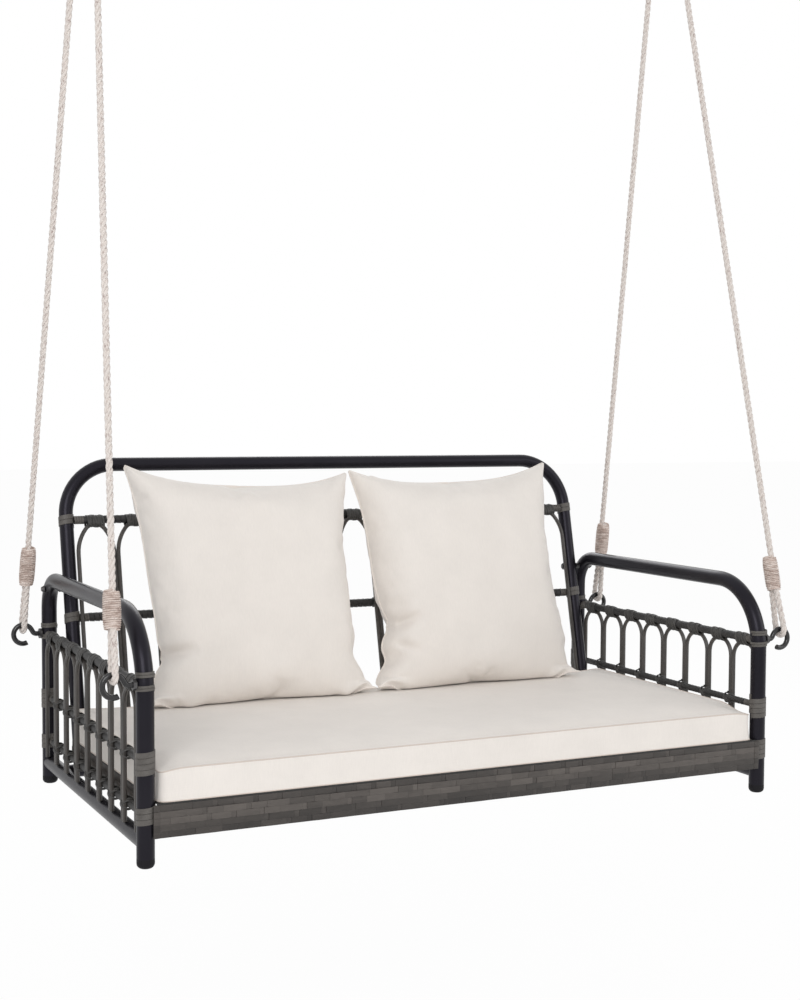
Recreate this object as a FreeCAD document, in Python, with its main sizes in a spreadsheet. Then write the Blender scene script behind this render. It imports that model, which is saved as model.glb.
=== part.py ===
"""Two-seat hanging garden swing: bent tube frame with looped cane panels, hung by two ropes.

The bench is worked out from its feet: X runs along the seat, Y towards the back, Z up.
Every piece is then set down so that the origin lies on the swing axis, midway between
the two hanging rings.  Millimetres and degrees.
"""
import FreeCAD
import Part
import math
import os

# Driving dimensions

SIZES = {
    # hanging
    "hang_height": 1890.0,
    "axis_back": 14.0,
    "ring_spread": 610.0,
    "ring_radius": 32.0,
    "ring_wire": 10.0,
    "rope_diameter": 12.0,
    "rope_clearance": 0.4,
    "eye_length": 76.0,
    "eye_bend": 60.0,
    "seizing_turn_count": 16.0,
    "seizing_pitch": 4.7,
    "seizing_twine": 3.3,
    "seizing_clearance": 0.5,
    # hooks
    "hook_drop": 109.0,
    "hook_wire": 10.0,
    "hook_reach": 52.0,
    "hook_radius": 18.5,
    "hook_neck_radius": 8.0,
    "hook_neck_angle": 60.0,
    "hook_tip_angle": 115.0,
    "hook_bore": 10.3,
    "nut_across_flats": 17.0,
    "nut_thickness": 6.0,
    "shank_tail": 2.0,
    # arm frames
    "leg_spread": 619.0,
    "leg_depth": 328.0,
    "arm_tube": 30.0,
    "tube_wall": 1.5,
    "arm_height": 410.0,
    "front_bend": 125.0,
    "rear_bend": 62.0,
    "foot_height": 16.0,
    "foot_plug": 18.0,
    "foot_round": 8.2,
    "foot_clearance": 0.2,
    "weld_gap": 0.1,
    "base_tube": 28.0,
    "base_height": 42.0,
    # arm panels
    "arm_upper_rail": 13.0,
    "arm_upper_drop": 111.0,
    "arm_rail": 10.0,
    "arm_middle_height": 172.0,
    "arm_lower_height": 86.0,
    "arm_arch_count": 8.0,
    "cane": 8.0,
    "cane_gap": 0.2,
    "cane_seat": 0.25,
    # back frame
    "back_lean_angle": 12.8,
    "back_inset": 109.4,
    "back_tube": 28.0,
    "back_length": 650.0,
    "back_bend": 105.0,
    "back_rail": 14.0,
    "back_upper_rail": 536.0,
    "back_lower_drop": 60.0,
    "back_bottom_rail": 114.0,
    "back_arch_count": 14.0,
    "back_crown_radius": 24.0,
    "back_crown_rise": 60.0,
    "bolt_drop": 19.0,
    "bolt_diameter": 8.0,
    "bolt_head": 14.0,
    "bolt_head_top": 8.0,
    "bolt_head_thickness": 5.0,
    "bolt_spacer": 8.5,
    "bolt_tail": 2.0,
    "bolt_nut_flats": 13.0,
    # seat
    "seat_tube": 25.0,
    "seat_tube_height": 88.0,
    "seat_bar": 16.0,
    "seat_bar_count": 5.0,
    "deck_thickness": 6.5,
    "deck_side_gap": 6.0,
    "deck_rear_gap": 6.0,
    "apron_thickness": 3.0,
    "apron_bottom": 50.0,
    "apron_rod": 8.0,
    "side_apron_bottom": 71.0,
    # cushions
    "soft_clearance": 0.3,
    "cushion_side_gap": 3.5,
    "cushion_height": 54.0,
    "cushion_crown": 9.0,
    "cushion_corner": 24.0,
    "cushion_roll": 9.7,
    "cushion_draw": 4.0,
    "cushion_rear_gap": 14.0,
    "pillow_width": 484.0,
    "pillow_height": 452.0,
    "pillow_thickness": 164.0,
    "pillow_draw": 30.0,
    "pillow_lean_angle": 15.0,
    "pillow_gap": 2.0,
}

Vector = FreeCAD.Vector
Rotation = FreeCAD.Rotation
ALONG_X = Rotation(Vector(0, 1, 0), 90)
ALONG_Y = Rotation(Vector(1, 0, 0), -90)
SIDES = (("left", -1), ("right", 1))
ENDS = (("front", -1), ("rear", 1))
LEAN = "Sizes.back_lean_angle * 1 deg"
BACK_FOOT = "(Sizes.leg_depth - Sizes.back_inset)"
POST_SPREAD = "(Sizes.leg_spread - Sizes.arm_tube / 2 - Sizes.bolt_spacer - Sizes.back_tube / 2)"
BOLT_HEIGHT = "(Sizes.arm_height - Sizes.bolt_drop)"
HOOK_HEIGHT = "(Sizes.arm_height - Sizes.hook_drop)"
UPPER_HEIGHT = "(Sizes.arm_height - Sizes.arm_upper_drop)"
BOLT_BACK = "(%s + %s * tan(%s))" % (BACK_FOOT, BOLT_HEIGHT, LEAN)

doc = FreeCAD.newDocument("GardenSwing")
sheet = doc.addObject("Spreadsheet::Sheet", "Sizes")
for row, (alias, number) in enumerate(SIZES.items(), 1):
    sheet.set("A%d" % row, alias)
    sheet.set("B%d" % row, str(number))
    sheet.setAlias("B%d" % row, alias)
doc.recompute()

nodes = []


def size(alias):
    """A driving dimension, read back from the sheet."""
    return float(sheet.get(alias))


lean = math.radians(size("back_lean_angle"))
back_foot = size("leg_depth") - size("back_inset")
post_spread = size("leg_spread") - size("arm_tube") / 2 - size("bolt_spacer") - size("back_tube") / 2
bolt_height = size("arm_height") - size("bolt_drop")
hook_height = size("arm_height") - size("hook_drop")


# Placing and naming


def bind(obj, **expressions):
    """Tie properties to the sheet; a cell's alias stands bare in the expression."""
    for prop, text in expressions.items():
        obj.setExpression(prop.replace("__", "."), text)


def cell(alias):
    return "Sizes." + alias


def set_down(obj, x="0", y="0", z="0", turn=None):
    """Place an object of the bench by sheet expressions, measured from the swing axis."""
    if turn is not None:
        obj.Placement = FreeCAD.Placement(Vector(), turn)
    bind(
        obj,
        Placement__Base__x=x,
        Placement__Base__y="%s - Sizes.axis_back" % y,
        Placement__Base__z="%s - Sizes.hang_height" % z,
    )


def lean_back(obj):
    """Place an object that was made upright in the plane of the back."""
    obj.Placement = FreeCAD.Placement(Vector(), Rotation(Vector(-1, 0, 0), size("back_lean_angle")))
    bind(
        obj,
        Placement__Base__y="%s - Sizes.axis_back" % BACK_FOOT,
        Placement__Base__z="-Sizes.hang_height",
        Placement__Rotation__Angle="Sizes.back_lean_angle",
    )


def node(obj, label):
    """Enter an object in the list of pieces, under its own name."""
    obj.Label = label
    nodes.append(obj)
    return obj


def feature(label, shape):
    """A piece whose shape is set from Part's own functions."""
    obj = doc.addObject("Part::Feature", label)
    obj.Shape = shape
    return node(obj, label)


def cylinder(name, diameter, length):
    obj = doc.addObject("Part::Cylinder", name)
    bind(obj, Radius="(%s) / 2" % diameter, Height=length)
    return obj


def cut(name, base, tool):
    obj = doc.addObject("Part::Cut", name)
    obj.Base = base
    obj.Tool = tool
    return obj


def fuse(name, parts):
    obj = doc.addObject("Part::MultiFuse", name)
    obj.Shapes = parts
    return obj


def shift(obj, x="0", y="0", z="0", turn=None):
    """Place a tool of a boolean in its result's own coordinates."""
    if turn is not None:
        obj.Placement = FreeCAD.Placement(Vector(), turn)
    bind(obj, Placement__Base__x=x, Placement__Base__y=y, Placement__Base__z=z)
    return obj


# Paths of straight runs and arcs


def line(start, end):
    return Part.LineSegment(start, end).toShape()


def arc(centre, radius, first, last, across, up):
    """An arc about a centre, from one angle to another, in the plane of two unit vectors."""

    def at(degrees):
        turn = math.radians(degrees)
        return centre + across * (radius * math.cos(turn)) + up * (radius * math.sin(turn))

    return Part.Arc(at(first), at((first + last) / 2), at(last)).toShape()


def tube_along(edges, section):
    """A solid swept along a path; its volume is compared with section times length."""
    path = Part.Wire(edges)
    shell = Part.BRepOffsetAPI.MakePipeShell(path)
    shell.add(section, False, False)
    shell.build()
    shell.makeSolid()
    solid = shell.shape()
    expected = Part.Face(section).Area * path.Length
    if abs(abs(solid.Volume) - expected) > 0.02 * expected:
        raise RuntimeError("a swept tube has the volume %.0f, not %.0f" % (solid.Volume, expected))
    return solid


def polygon_section(edges, diameter, sides):
    """A regular polygon of a round bar's area, square to the start of a path."""
    start = edges[0].valueAt(edges[0].FirstParameter)
    tangent = edges[0].tangentAt(edges[0].FirstParameter)
    side = Vector(1, 0, 0)
    if abs(tangent.x) > 0.9:
        side = Vector(0, 1, 0)
    side = (side - tangent * side.dot(tangent)).normalize()
    other = tangent.cross(side)
    reach = diameter / 2 * math.sqrt(2 * math.pi / (sides * math.sin(2 * math.pi / sides)))
    points = []
    for corner in range(sides):
        turn = 2 * math.pi * (corner + 0.5) / sides
        points.append(start + side * (reach * math.cos(turn)) + other * (reach * math.sin(turn)))
    return Part.makePolygon(points + points[:1])


def bar(edges, diameter, sides=8):
    return tube_along(edges, polygon_section(edges, diameter, sides))


def bent_tube(name, edges, start_turn, diameter):
    """A hollow tube: a sweep of the outside with a sweep of the bore cut out of it."""
    path = doc.addObject("Part::Feature", name + "_path")
    path.Shape = Part.Wire(edges)
    names = ["Edge%d" % (index + 1) for index in range(len(edges))]
    sweeps = []
    for kind, radius in (
        ("outside", "%s / 2" % diameter),
        ("bore", "%s / 2 - Sizes.tube_wall" % diameter),
    ):
        ring = doc.addObject("Part::Circle", name + "_" + kind + "_ring")
        bind(ring, Radius=radius)
        ring.Placement = FreeCAD.Placement(edges[0].Vertexes[0].Point, start_turn)
        sweep = doc.addObject("Part::Sweep", name + "_" + kind)
        sweep.Sections = [ring]
        sweep.Spine = (path, names)
        sweep.Solid = True
        sweeps.append(sweep)
    return cut(name + "_tube", sweeps[0], sweeps[1])


def straight_tube(name, diameter, length):
    """A hollow straight tube along its own Z."""
    outside = cylinder(name + "_outside", diameter, length)
    bore = cylinder(name + "_bore", "%s - 2 * Sizes.tube_wall" % diameter, length)
    return cut(name + "_tube", outside, bore)


# Arm frames


def arm_path():
    """Front leg, arm and rear leg as one line in the plane of the arm."""
    y = size("leg_depth")
    top = size("arm_height")
    front = size("front_bend")
    rear = size("rear_bend")
    foot = size("foot_height")
    across = Vector(0, 1, 0)
    up = Vector(0, 0, 1)
    return [
        line(Vector(0, -y, foot), Vector(0, -y, top - front)),
        arc(Vector(0, front - y, top - front), front, 180, 90, across, up),
        line(Vector(0, front - y, top), Vector(0, y - rear, top)),
        arc(Vector(0, y - rear, top - rear), rear, 90, 0, across, up),
        line(Vector(0, y, top - rear), Vector(0, y, foot)),
    ]


def arm_tube(side, sign):
    """A bent arm tube, bored for the two hooks and for the bolt of the back."""
    name = "arm_tube_" + side
    tube = bent_tube(name, arm_path(), Rotation(), cell("arm_tube"))
    bores = []
    for end, way in ENDS:
        bore = cylinder("%s_%s_hook_bore" % (name, end), cell("hook_bore"), cell("arm_tube"))
        start = "0 * Sizes.arm_tube" if sign > 0 else "-Sizes.arm_tube"
        shift(bore, start, "%d * Sizes.leg_depth" % way, HOOK_HEIGHT, ALONG_X)
        bores.append(bore)
    bolt = cylinder(name + "_bolt_bore", "Sizes.bolt_diameter + 2 * Sizes.weld_gap", "Sizes.arm_tube * 2")
    shift(bolt, "-Sizes.arm_tube", BOLT_BACK, BOLT_HEIGHT, ALONG_X)
    bores.append(bolt)
    drilled = cut(name + "_drilled", tube, fuse(name + "_bores", bores))
    set_down(drilled, "%d * Sizes.leg_spread" % sign)
    return node(drilled, name)


for side, sign in SIDES:
    arm_tube(side, sign)


def foot_cap():
    """One foot: a rounded plastic cap with a plug that fills the tube's end."""
    body = doc.addObject("PartDesign::Body", "foot_cap")
    sketch = body.newObject("Sketcher::SketchObject", "foot_cap_profile")
    plane = [item for item in body.Origin.OriginFeatures if item.Role == "XZ_Plane"][0]
    sketch.AttachmentSupport = (plane, "")
    sketch.MapMode = "FlatFace"
    outer = size("arm_tube") / 2
    plug = outer - size("tube_wall") - size("foot_clearance")
    rim = size("foot_height")
    top = rim + size("foot_plug")
    round_off = size("foot_round")
    corners = [
        Vector(0, 0, 0),
        Vector(outer - round_off, 0, 0),
        Vector(outer, round_off, 0),
        Vector(outer, rim, 0),
        Vector(plug, rim, 0),
        Vector(plug, top, 0),
        Vector(0, top, 0),
    ]
    for index, corner in enumerate(corners):
        following = corners[(index + 1) % len(corners)]
        if index == 1:
            middle = Vector(outer - round_off * (1 - math.sqrt(0.5)), round_off * (1 - math.sqrt(0.5)), 0)
            sketch.addGeometry(Part.Arc(corner, middle, following), False)
        else:
            sketch.addGeometry(Part.LineSegment(corner, following), False)
    doc.recompute()
    turned = body.newObject("PartDesign::Revolution", "foot_cap_turned")
    turned.Profile = sketch
    turned.ReferenceAxis = (sketch, ["V_Axis"])
    turned.Angle = 360
    doc.recompute()
    return body


def foot_caps():
    cap = foot_cap()
    copies = []
    for _, sign in SIDES:
        for _, way in ENDS:
            copy = cap.Shape.copy()
            copy.translate(Vector(sign * size("leg_spread"), way * size("leg_depth"), 0))
            copies.append(copy)
    set_down(feature("foot_caps", Part.makeCompound(copies)))


foot_caps()

for side, sign in SIDES:
    name = "base_tube_" + side
    tube = straight_tube(name, cell("base_tube"), "2 * Sizes.leg_depth")
    copes = []
    for end, _ in ENDS:
        cope = cylinder("%s_%s_cope" % (name, end), "Sizes.arm_tube + 2 * Sizes.weld_gap", "2 * Sizes.base_tube")
        run = "0" if end == "front" else "2 * Sizes.leg_depth"
        shift(cope, "0", "Sizes.base_tube", run, Rotation(Vector(1, 0, 0), 90))
        copes.append(cope)
    coped = cut(name + "_coped", tube, fuse(name + "_copes", copes))
    set_down(coped, "%d * Sizes.leg_spread" % sign, "-Sizes.leg_depth", cell("base_height"), ALONG_Y)
    node(coped, name)

# Arm panels

RAIL_REACH = "(Sizes.leg_depth - Sizes.arm_tube / 2 - Sizes.weld_gap)"
UPPER_TOP = "(%s + Sizes.arm_upper_rail / 2)" % UPPER_HEIGHT
INTO_BEND = "max(0; %s - Sizes.arm_height + Sizes.front_bend)" % UPPER_TOP
BEND_INSIDE = "(Sizes.front_bend - Sizes.arm_tube / 2 - Sizes.weld_gap)"
UPPER_FRONT = "(Sizes.leg_depth - Sizes.front_bend + sqrt(%s ^ 2 - %s ^ 2))" % (BEND_INSIDE, INTO_BEND)
CANE_OUTSET = "(Sizes.arm_rail / 2 + Sizes.cane / 2 + Sizes.cane_seat)"
UPPER_OUTSET = "(%s / 2)" % CANE_OUTSET

for side, sign in SIDES:
    for level, thickness, height, outset, front in (
        ("upper", "arm_upper_rail", UPPER_HEIGHT, UPPER_OUTSET, UPPER_FRONT),
        ("middle", "arm_rail", cell("arm_middle_height"), "0", RAIL_REACH),
        ("lower", "arm_rail", cell("arm_lower_height"), "0", RAIL_REACH),
    ):
        rail = cylinder("arm_%s_rail_%s" % (level, side), cell(thickness), "%s + %s" % (front, RAIL_REACH))
        set_down(rail, "%d * (Sizes.leg_spread + %s)" % (sign, outset), "-%s" % front, height, ALONG_Y)
        node(rail, "arm_%s_rail_%s" % (level, side))


def round_arch(half, foot, crown, across, up, middle):
    """Two legs joined by a half circle that tops out at the crown."""
    spring = crown - half
    return [
        line(middle - across * half + up * foot, middle - across * half + up * spring),
        arc(middle + up * spring, half, 180, 0, across, up),
        line(middle + across * half + up * spring, middle + across * half + up * foot),
    ]


def tall_arch(half, foot, crown, across, up, middle):
    """Two legs joined by a crown arc between two wider side arcs."""
    tight = size("back_crown_radius")
    rise = size("back_crown_rise")
    wide = (half ** 2 + (rise - tight) ** 2 - tight ** 2) / (2 * (half - tight))
    spring = crown - rise
    bend = math.degrees(math.atan2(rise - tight, wide - half))
    base = middle + up * spring
    left = base + across * (wide - half)
    right = base - across * (wide - half)
    return [
        line(middle - across * half + up * foot, base - across * half),
        arc(left, wide, 180, 180 - bend, across, up),
        arc(base + up * (rise - tight), tight, 180 - bend, bend, across, up),
        arc(right, wide, bend, 0, across, up),
        line(base + across * half, middle + across * half + up * foot),
    ]


def arm_arches(side, sign):
    """The looped canes of one arm, side by side between the legs, outside the rails."""
    count = int(size("arm_arch_count"))
    cane = size("cane")
    outset = size("arm_rail") / 2 + cane / 2 + size("cane_seat")
    room = 2 * (size("leg_depth") - size("arm_tube") / 2)
    pitch = room / count
    half = (pitch - cane - size("cane_gap")) / 2
    foot = size("base_height") + size("base_tube") / 2
    reach = size("arm_upper_rail") / 2 + cane / 2 + size("cane_seat")
    upper = size("arm_height") - size("arm_upper_drop")
    crown = upper - math.sqrt(reach ** 2 - (outset / 2) ** 2)
    canes = []
    for index in range(count):
        middle = Vector(0, -room / 2 + pitch * (index + 0.5), 0)
        edges = round_arch(half, foot, crown, Vector(0, 1, 0), Vector(0, 0, 1), middle)
        canes.append(bar(edges, cane))
    group = feature("arm_arches_" + side, Part.makeCompound(canes))
    set_down(group, "%d * (Sizes.leg_spread + %s)" % (sign, CANE_OUTSET))


for side, sign in SIDES:
    arm_arches(side, sign)

# Back


def back_frame():
    """The back's bent tube, with its feet shaped to the cross tube and bored for the bolts."""
    spread = post_spread
    top = size("back_length")
    bend = size("back_bend")
    across = Vector(1, 0, 0)
    up = Vector(0, 0, 1)
    foot = size("base_height") / math.cos(lean)
    edges = [
        line(Vector(-spread, 0, foot), Vector(-spread, 0, top - bend)),
        arc(Vector(bend - spread, 0, top - bend), bend, 180, 90, across, up),
        line(Vector(bend - spread, 0, top), Vector(spread - bend, 0, top)),
        arc(Vector(spread - bend, 0, top - bend), bend, 90, 0, across, up),
        line(Vector(spread, 0, top - bend), Vector(spread, 0, foot)),
    ]
    tube = bent_tube("back_frame_tube", edges, Rotation(), cell("back_tube"))
    cope = cylinder("back_frame_cope", "Sizes.seat_tube + 2 * Sizes.weld_gap", "4 * Sizes.leg_spread")
    shift(cope, "-2 * Sizes.leg_spread", "0", "Sizes.base_height / cos(%s)" % LEAN, ALONG_X)
    bore = cylinder(
        "back_frame_bolt_bore", "Sizes.bolt_diameter + 2 * Sizes.weld_gap", "4 * Sizes.leg_spread"
    )
    shift(bore, "-2 * Sizes.leg_spread", "0", "%s / cos(%s)" % (BOLT_HEIGHT, LEAN), ALONG_X)
    shaped = cut("back_frame_shaped", tube, fuse("back_frame_cuts", [cope, bore]))
    lean_back(shaped)
    return node(shaped, "back_frame_tube")


back_frame()

BACK_RUN = "2 * (%s - Sizes.back_tube / 2 - Sizes.weld_gap)" % POST_SPREAD
BACK_INSET = "(Sizes.back_rail / 2 + Sizes.cane / 2 + Sizes.cane_seat)"


def on_back(length, forward):
    """Expressions for the Y and Z of a point in the plane of the back."""
    y = "(%s + (%s) * sin(%s) - (%s) * cos(%s))" % (BACK_FOOT, length, LEAN, forward, LEAN)
    z = "((%s) * cos(%s) + (%s) * sin(%s))" % (length, LEAN, forward, LEAN)
    return y, z


for label, length, forward in (
    ("back_upper_rail", cell("back_upper_rail"), "%s / 2" % BACK_INSET),
    ("back_lower_rail", "%s / cos(%s) - Sizes.back_lower_drop" % (BOLT_HEIGHT, LEAN), "0"),
    ("back_bottom_rail", cell("back_bottom_rail"), "0"),
):
    rail = straight_tube(label, cell("back_rail"), BACK_RUN)
    y, z = on_back(length, forward)
    set_down(rail, "-(%s) / 2" % BACK_RUN, y, z, ALONG_X)
    node(rail, label)


def back_arches():
    """The looped canes of the back, in front of its rails."""
    count = int(size("back_arch_count"))
    cane = size("cane")
    inset = size("back_rail") / 2 + cane / 2 + size("cane_seat")
    room = 2 * (post_spread - size("back_tube") / 2)
    pitch = room / count
    half = (pitch - cane - size("cane_gap")) / 2
    foot = size("back_bottom_rail") - size("back_rail") / 2
    reach = size("back_rail") / 2 + cane / 2 + size("cane_seat")
    crown = size("back_upper_rail") - math.sqrt(reach ** 2 - (inset / 2) ** 2)
    canes = []
    for index in range(count):
        middle = Vector(-room / 2 + pitch * (index + 0.5), -inset, 0)
        edges = tall_arch(half, foot, crown, Vector(1, 0, 0), Vector(0, 0, 1), middle)
        canes.append(bar(edges, cane))
    lean_back(feature("back_arches", Part.makeCompound(canes)))


back_arches()

# Seat frame

SEAT_REAR = "(%s + Sizes.seat_tube_height * tan(%s))" % (BACK_FOOT, LEAN)
BASE_REAR = "(%s + Sizes.base_height * tan(%s))" % (BACK_FOOT, LEAN)
APRON_BACK = "(Sizes.leg_depth + Sizes.seat_tube / 2 + Sizes.weld_gap)"


def cross_tube(label, spread, cope_diameter, cope_turn, cope_start, y, z):
    """A tube along X between two others, with its ends shaped to them."""
    tube = straight_tube(label, cell("seat_tube"), "2 * %s" % spread)
    copes = []
    for end, run in (("left", "0"), ("right", "2 * %s" % spread)):
        cope = cylinder("%s_%s_cope" % (label, end), cope_diameter, "4 * Sizes.seat_tube")
        shift(cope, cope_start[0], cope_start[1], run, cope_turn)
        copes.append(cope)
    shaped = cut(label + "_shaped", tube, fuse(label + "_copes", copes))
    set_down(shaped, "-%s" % spread, y, z, ALONG_X)
    return node(shaped, label)


cross_tube(
    "seat_front_tube",
    cell("leg_spread"),
    "Sizes.arm_tube + 2 * Sizes.weld_gap",
    ALONG_X,
    ("-2 * Sizes.seat_tube", "0"),
    "-Sizes.leg_depth",
    cell("seat_tube_height"),
)
cross_tube(
    "base_cross_tube",
    cell("leg_spread"),
    "Sizes.base_tube + 2 * Sizes.weld_gap",
    ALONG_Y,
    ("0", "-2 * Sizes.seat_tube"),
    BASE_REAR,
    cell("base_height"),
)
cross_tube(
    "seat_rear_tube",
    POST_SPREAD,
    "Sizes.back_tube + 2 * Sizes.weld_gap",
    Rotation(Vector(0, 0, 1), Vector(-math.cos(lean), math.sin(lean), 0)),
    ("2 * Sizes.seat_tube * cos(%s)" % LEAN, "-2 * Sizes.seat_tube * sin(%s)" % LEAN),
    SEAT_REAR,
    cell("seat_tube_height"),
)


def seat_bars():
    """Bars under the seat, from the front tube to the rear tube."""
    count = int(size("seat_bar_count"))
    clear = size("seat_tube") / 2 + size("weld_gap")
    front = -size("leg_depth") + clear
    rear = back_foot + size("seat_tube_height") * math.tan(lean) - clear
    pitch = 2 * post_spread / (count + 1)
    bars = []
    for index in range(count):
        start = Vector((index - (count - 1) / 2) * pitch, front, size("seat_tube_height"))
        bars.append(Part.makeCylinder(size("seat_bar") / 2, rear - front, start, Vector(0, 1, 0)))
    set_down(feature("seat_bars", Part.makeCompound(bars)))


seat_bars()


def seat_deck():
    """The woven seat, laid on the tubes and bars."""
    deck = doc.addObject("Part::Box", "seat_deck")
    half = "(Sizes.leg_spread - Sizes.arm_tube / 2 - Sizes.deck_side_gap)"
    front = "(%s - Sizes.weld_gap)" % APRON_BACK
    canes = "(Sizes.back_rail / 2 + Sizes.cane + Sizes.cane_seat) / cos(%s)" % LEAN
    rear = "(%s - %s - Sizes.deck_rear_gap)" % (SEAT_REAR, canes)
    bind(
        deck,
        Length="2 * %s" % half,
        Width="%s + %s" % (front, rear),
        Height=cell("deck_thickness"),
    )
    set_down(deck, "-%s" % half, "-%s" % front, "Sizes.seat_tube_height + Sizes.seat_tube / 2")
    node(deck, "seat_deck")


seat_deck()


def front_apron():
    """The woven band across the front, rounded along its top edge."""
    slab = doc.addObject("Part::Box", "front_apron_slab")
    half = "(Sizes.leg_spread - Sizes.arm_tube / 2 - Sizes.weld_gap)"
    top = "(Sizes.seat_tube_height + Sizes.seat_tube / 2 + Sizes.deck_thickness)"
    bind(
        slab,
        Length="2 * %s" % half,
        Width=cell("apron_thickness"),
        Height="%s - Sizes.apron_bottom" % top,
    )
    doc.recompute()
    edge = 0
    for index, item in enumerate(slab.Shape.Edges, 1):
        middle = item.CenterOfMass
        if abs(middle.y) < 0.01 and abs(middle.z - slab.Height.Value) < 0.01:
            edge = index
    rounded = doc.addObject("Part::Fillet", "front_apron_rounded")
    rounded.Base = slab
    rounded.Edges = [(edge, size("apron_thickness") * 0.8, size("apron_thickness") * 0.8)]
    set_down(rounded, "-%s" % half, "-%s - Sizes.apron_thickness" % APRON_BACK, cell("apron_bottom"))
    node(rounded, "front_apron")
    rod = cylinder("apron_rod", cell("apron_rod"), "2 * %s" % half)
    set_down(
        rod,
        "-%s" % half,
        "-%s + Sizes.apron_rod / 2 + Sizes.weld_gap" % APRON_BACK,
        "Sizes.apron_bottom + Sizes.apron_rod / 2",
        ALONG_X,
    )
    node(rod, "apron_rod")


front_apron()


def side_aprons():
    """The woven bands along the seat's sides, narrower than the front band, rounded along the top."""
    inner = "(Sizes.leg_spread - Sizes.arm_tube / 2 - Sizes.deck_side_gap + Sizes.weld_gap)"
    front = "(Sizes.leg_depth - Sizes.seat_tube / 2 - Sizes.weld_gap)"
    canes = "(Sizes.back_rail / 2 + Sizes.cane + Sizes.cane_seat) / cos(%s)" % LEAN
    rear = "(%s - %s - Sizes.deck_rear_gap)" % (SEAT_REAR, canes)
    top = "(Sizes.seat_tube_height + Sizes.seat_tube / 2 + Sizes.deck_thickness)"
    for side, way in SIDES:
        label = "side_apron_%s" % side
        slab = doc.addObject("Part::Box", label + "_slab")
        bind(
            slab,
            Length=cell("apron_thickness"),
            Width="%s + %s" % (front, rear),
            Height="%s - Sizes.side_apron_bottom" % top,
        )
        doc.recompute()
        outer = 0.0 if way < 0 else slab.Length.Value
        edge = 0
        for index, item in enumerate(slab.Shape.Edges, 1):
            middle = item.CenterOfMass
            if abs(middle.x - outer) < 0.01 and abs(middle.z - slab.Height.Value) < 0.01:
                edge = index
        rounded = doc.addObject("Part::Fillet", label + "_rounded")
        rounded.Base = slab
        rounded.Edges = [(edge, size("apron_thickness") * 0.8, size("apron_thickness") * 0.8)]
        start = inner if way > 0 else "-%s - Sizes.apron_thickness" % inner
        set_down(rounded, start, "-%s" % front, cell("side_apron_bottom"))
        node(rounded, label)


side_aprons()

# Bolts that hold the back to the arms


def back_bolts():
    """Two bolts along X, each with a spacer between arm and post and a nut inside the post."""
    y = back_foot + bolt_height * math.tan(lean)
    z = bolt_height
    gap = size("weld_gap")
    outer = size("leg_spread") + size("arm_tube") / 2 + gap
    arm = size("leg_spread") - size("arm_tube") / 2 - gap
    post = post_spread + size("back_tube") / 2 + gap
    inner = post_spread - size("back_tube") / 2 - gap
    shaft = size("bolt_diameter") / 2
    head = size("bolt_head") / 2
    thick = size("bolt_head_thickness")
    bolts = []
    spacers = []
    nuts = []
    for _, sign in SIDES:
        way = Vector(-sign, 0, 0)

        def at(x):
            return Vector(sign * x, y, z)

        dome = Part.makeCone(size("bolt_head_top") / 2, head, thick, at(outer + thick), way)
        stem = Part.makeCylinder(shaft, outer - inner + thick + size("bolt_tail"), at(outer), way)
        bolts.append(dome.fuse(stem).removeSplitter())
        sleeve = Part.makeCylinder(head, arm - post, at(arm), way)
        hole = Part.makeCylinder(shaft + gap, arm - post, at(arm), way)
        spacers.append(sleeve.cut(hole))
        nuts.append(hex_nut(at(inner), way, size("bolt_nut_flats"), thick, 2 * (shaft + gap)))
    set_down(feature("back_bolts", Part.makeCompound(bolts)))
    set_down(feature("back_bolt_spacers", Part.makeCompound(spacers)))
    set_down(feature("back_bolt_nuts", Part.makeCompound(nuts)))


def hex_nut(seat, way, across_flats, thickness, bore):
    """A six-sided nut whose face lies at its seat and whose body points the given way."""
    corner = across_flats / math.sqrt(3)
    points = []
    for index in range(6):
        turn = math.radians(60 * index + 30)
        points.append(seat + Vector(0, corner * math.cos(turn), corner * math.sin(turn)))
    prism = Part.Face(Part.makePolygon(points + points[:1])).extrude(way * thickness)
    return prism.cut(Part.makeCylinder(bore / 2, thickness, seat, way))


back_bolts()

# Hooks


def inner_nut_face():
    """How far from a leg's middle a nut inside it meets the tube's wall with its corners."""
    inside = size("arm_tube") / 2 - size("tube_wall")
    corner = size("nut_across_flats") / math.sqrt(3)
    return math.sqrt(inside ** 2 - corner ** 2) - size("weld_gap")


def hook_path(sign):
    """Shank from inside the leg, a short neck up, and an open ring about the shank's height."""
    reach = size("hook_reach")
    radius = size("hook_radius")
    neck = size("hook_neck_radius")
    rise = math.radians(size("hook_neck_angle"))
    run = (radius * math.cos(rise) - neck * (1 - math.cos(rise))) / math.sin(rise)
    bend = reach - (radius + neck) * math.sin(rise) - run * math.cos(rise)
    tail = inner_nut_face() - size("nut_thickness") - size("shank_tail")
    across = Vector(sign, 0, 0)
    up = Vector(0, 0, 1)
    neck_end = across * (bend + neck * math.sin(rise)) + up * (neck * (1 - math.cos(rise)))
    ring_start = across * (reach - radius * math.sin(rise)) + up * (radius * math.cos(rise))
    angle = size("hook_neck_angle")
    return [
        line(across * tail, across * bend),
        arc(across * bend + up * neck, neck, -90, angle - 90, across, up),
        line(neck_end, ring_start),
        arc(across * reach, radius, 90 + angle, 0, across, up),
        arc(across * reach, radius, 0, -size("hook_tip_angle"), across, up),
    ]


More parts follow.
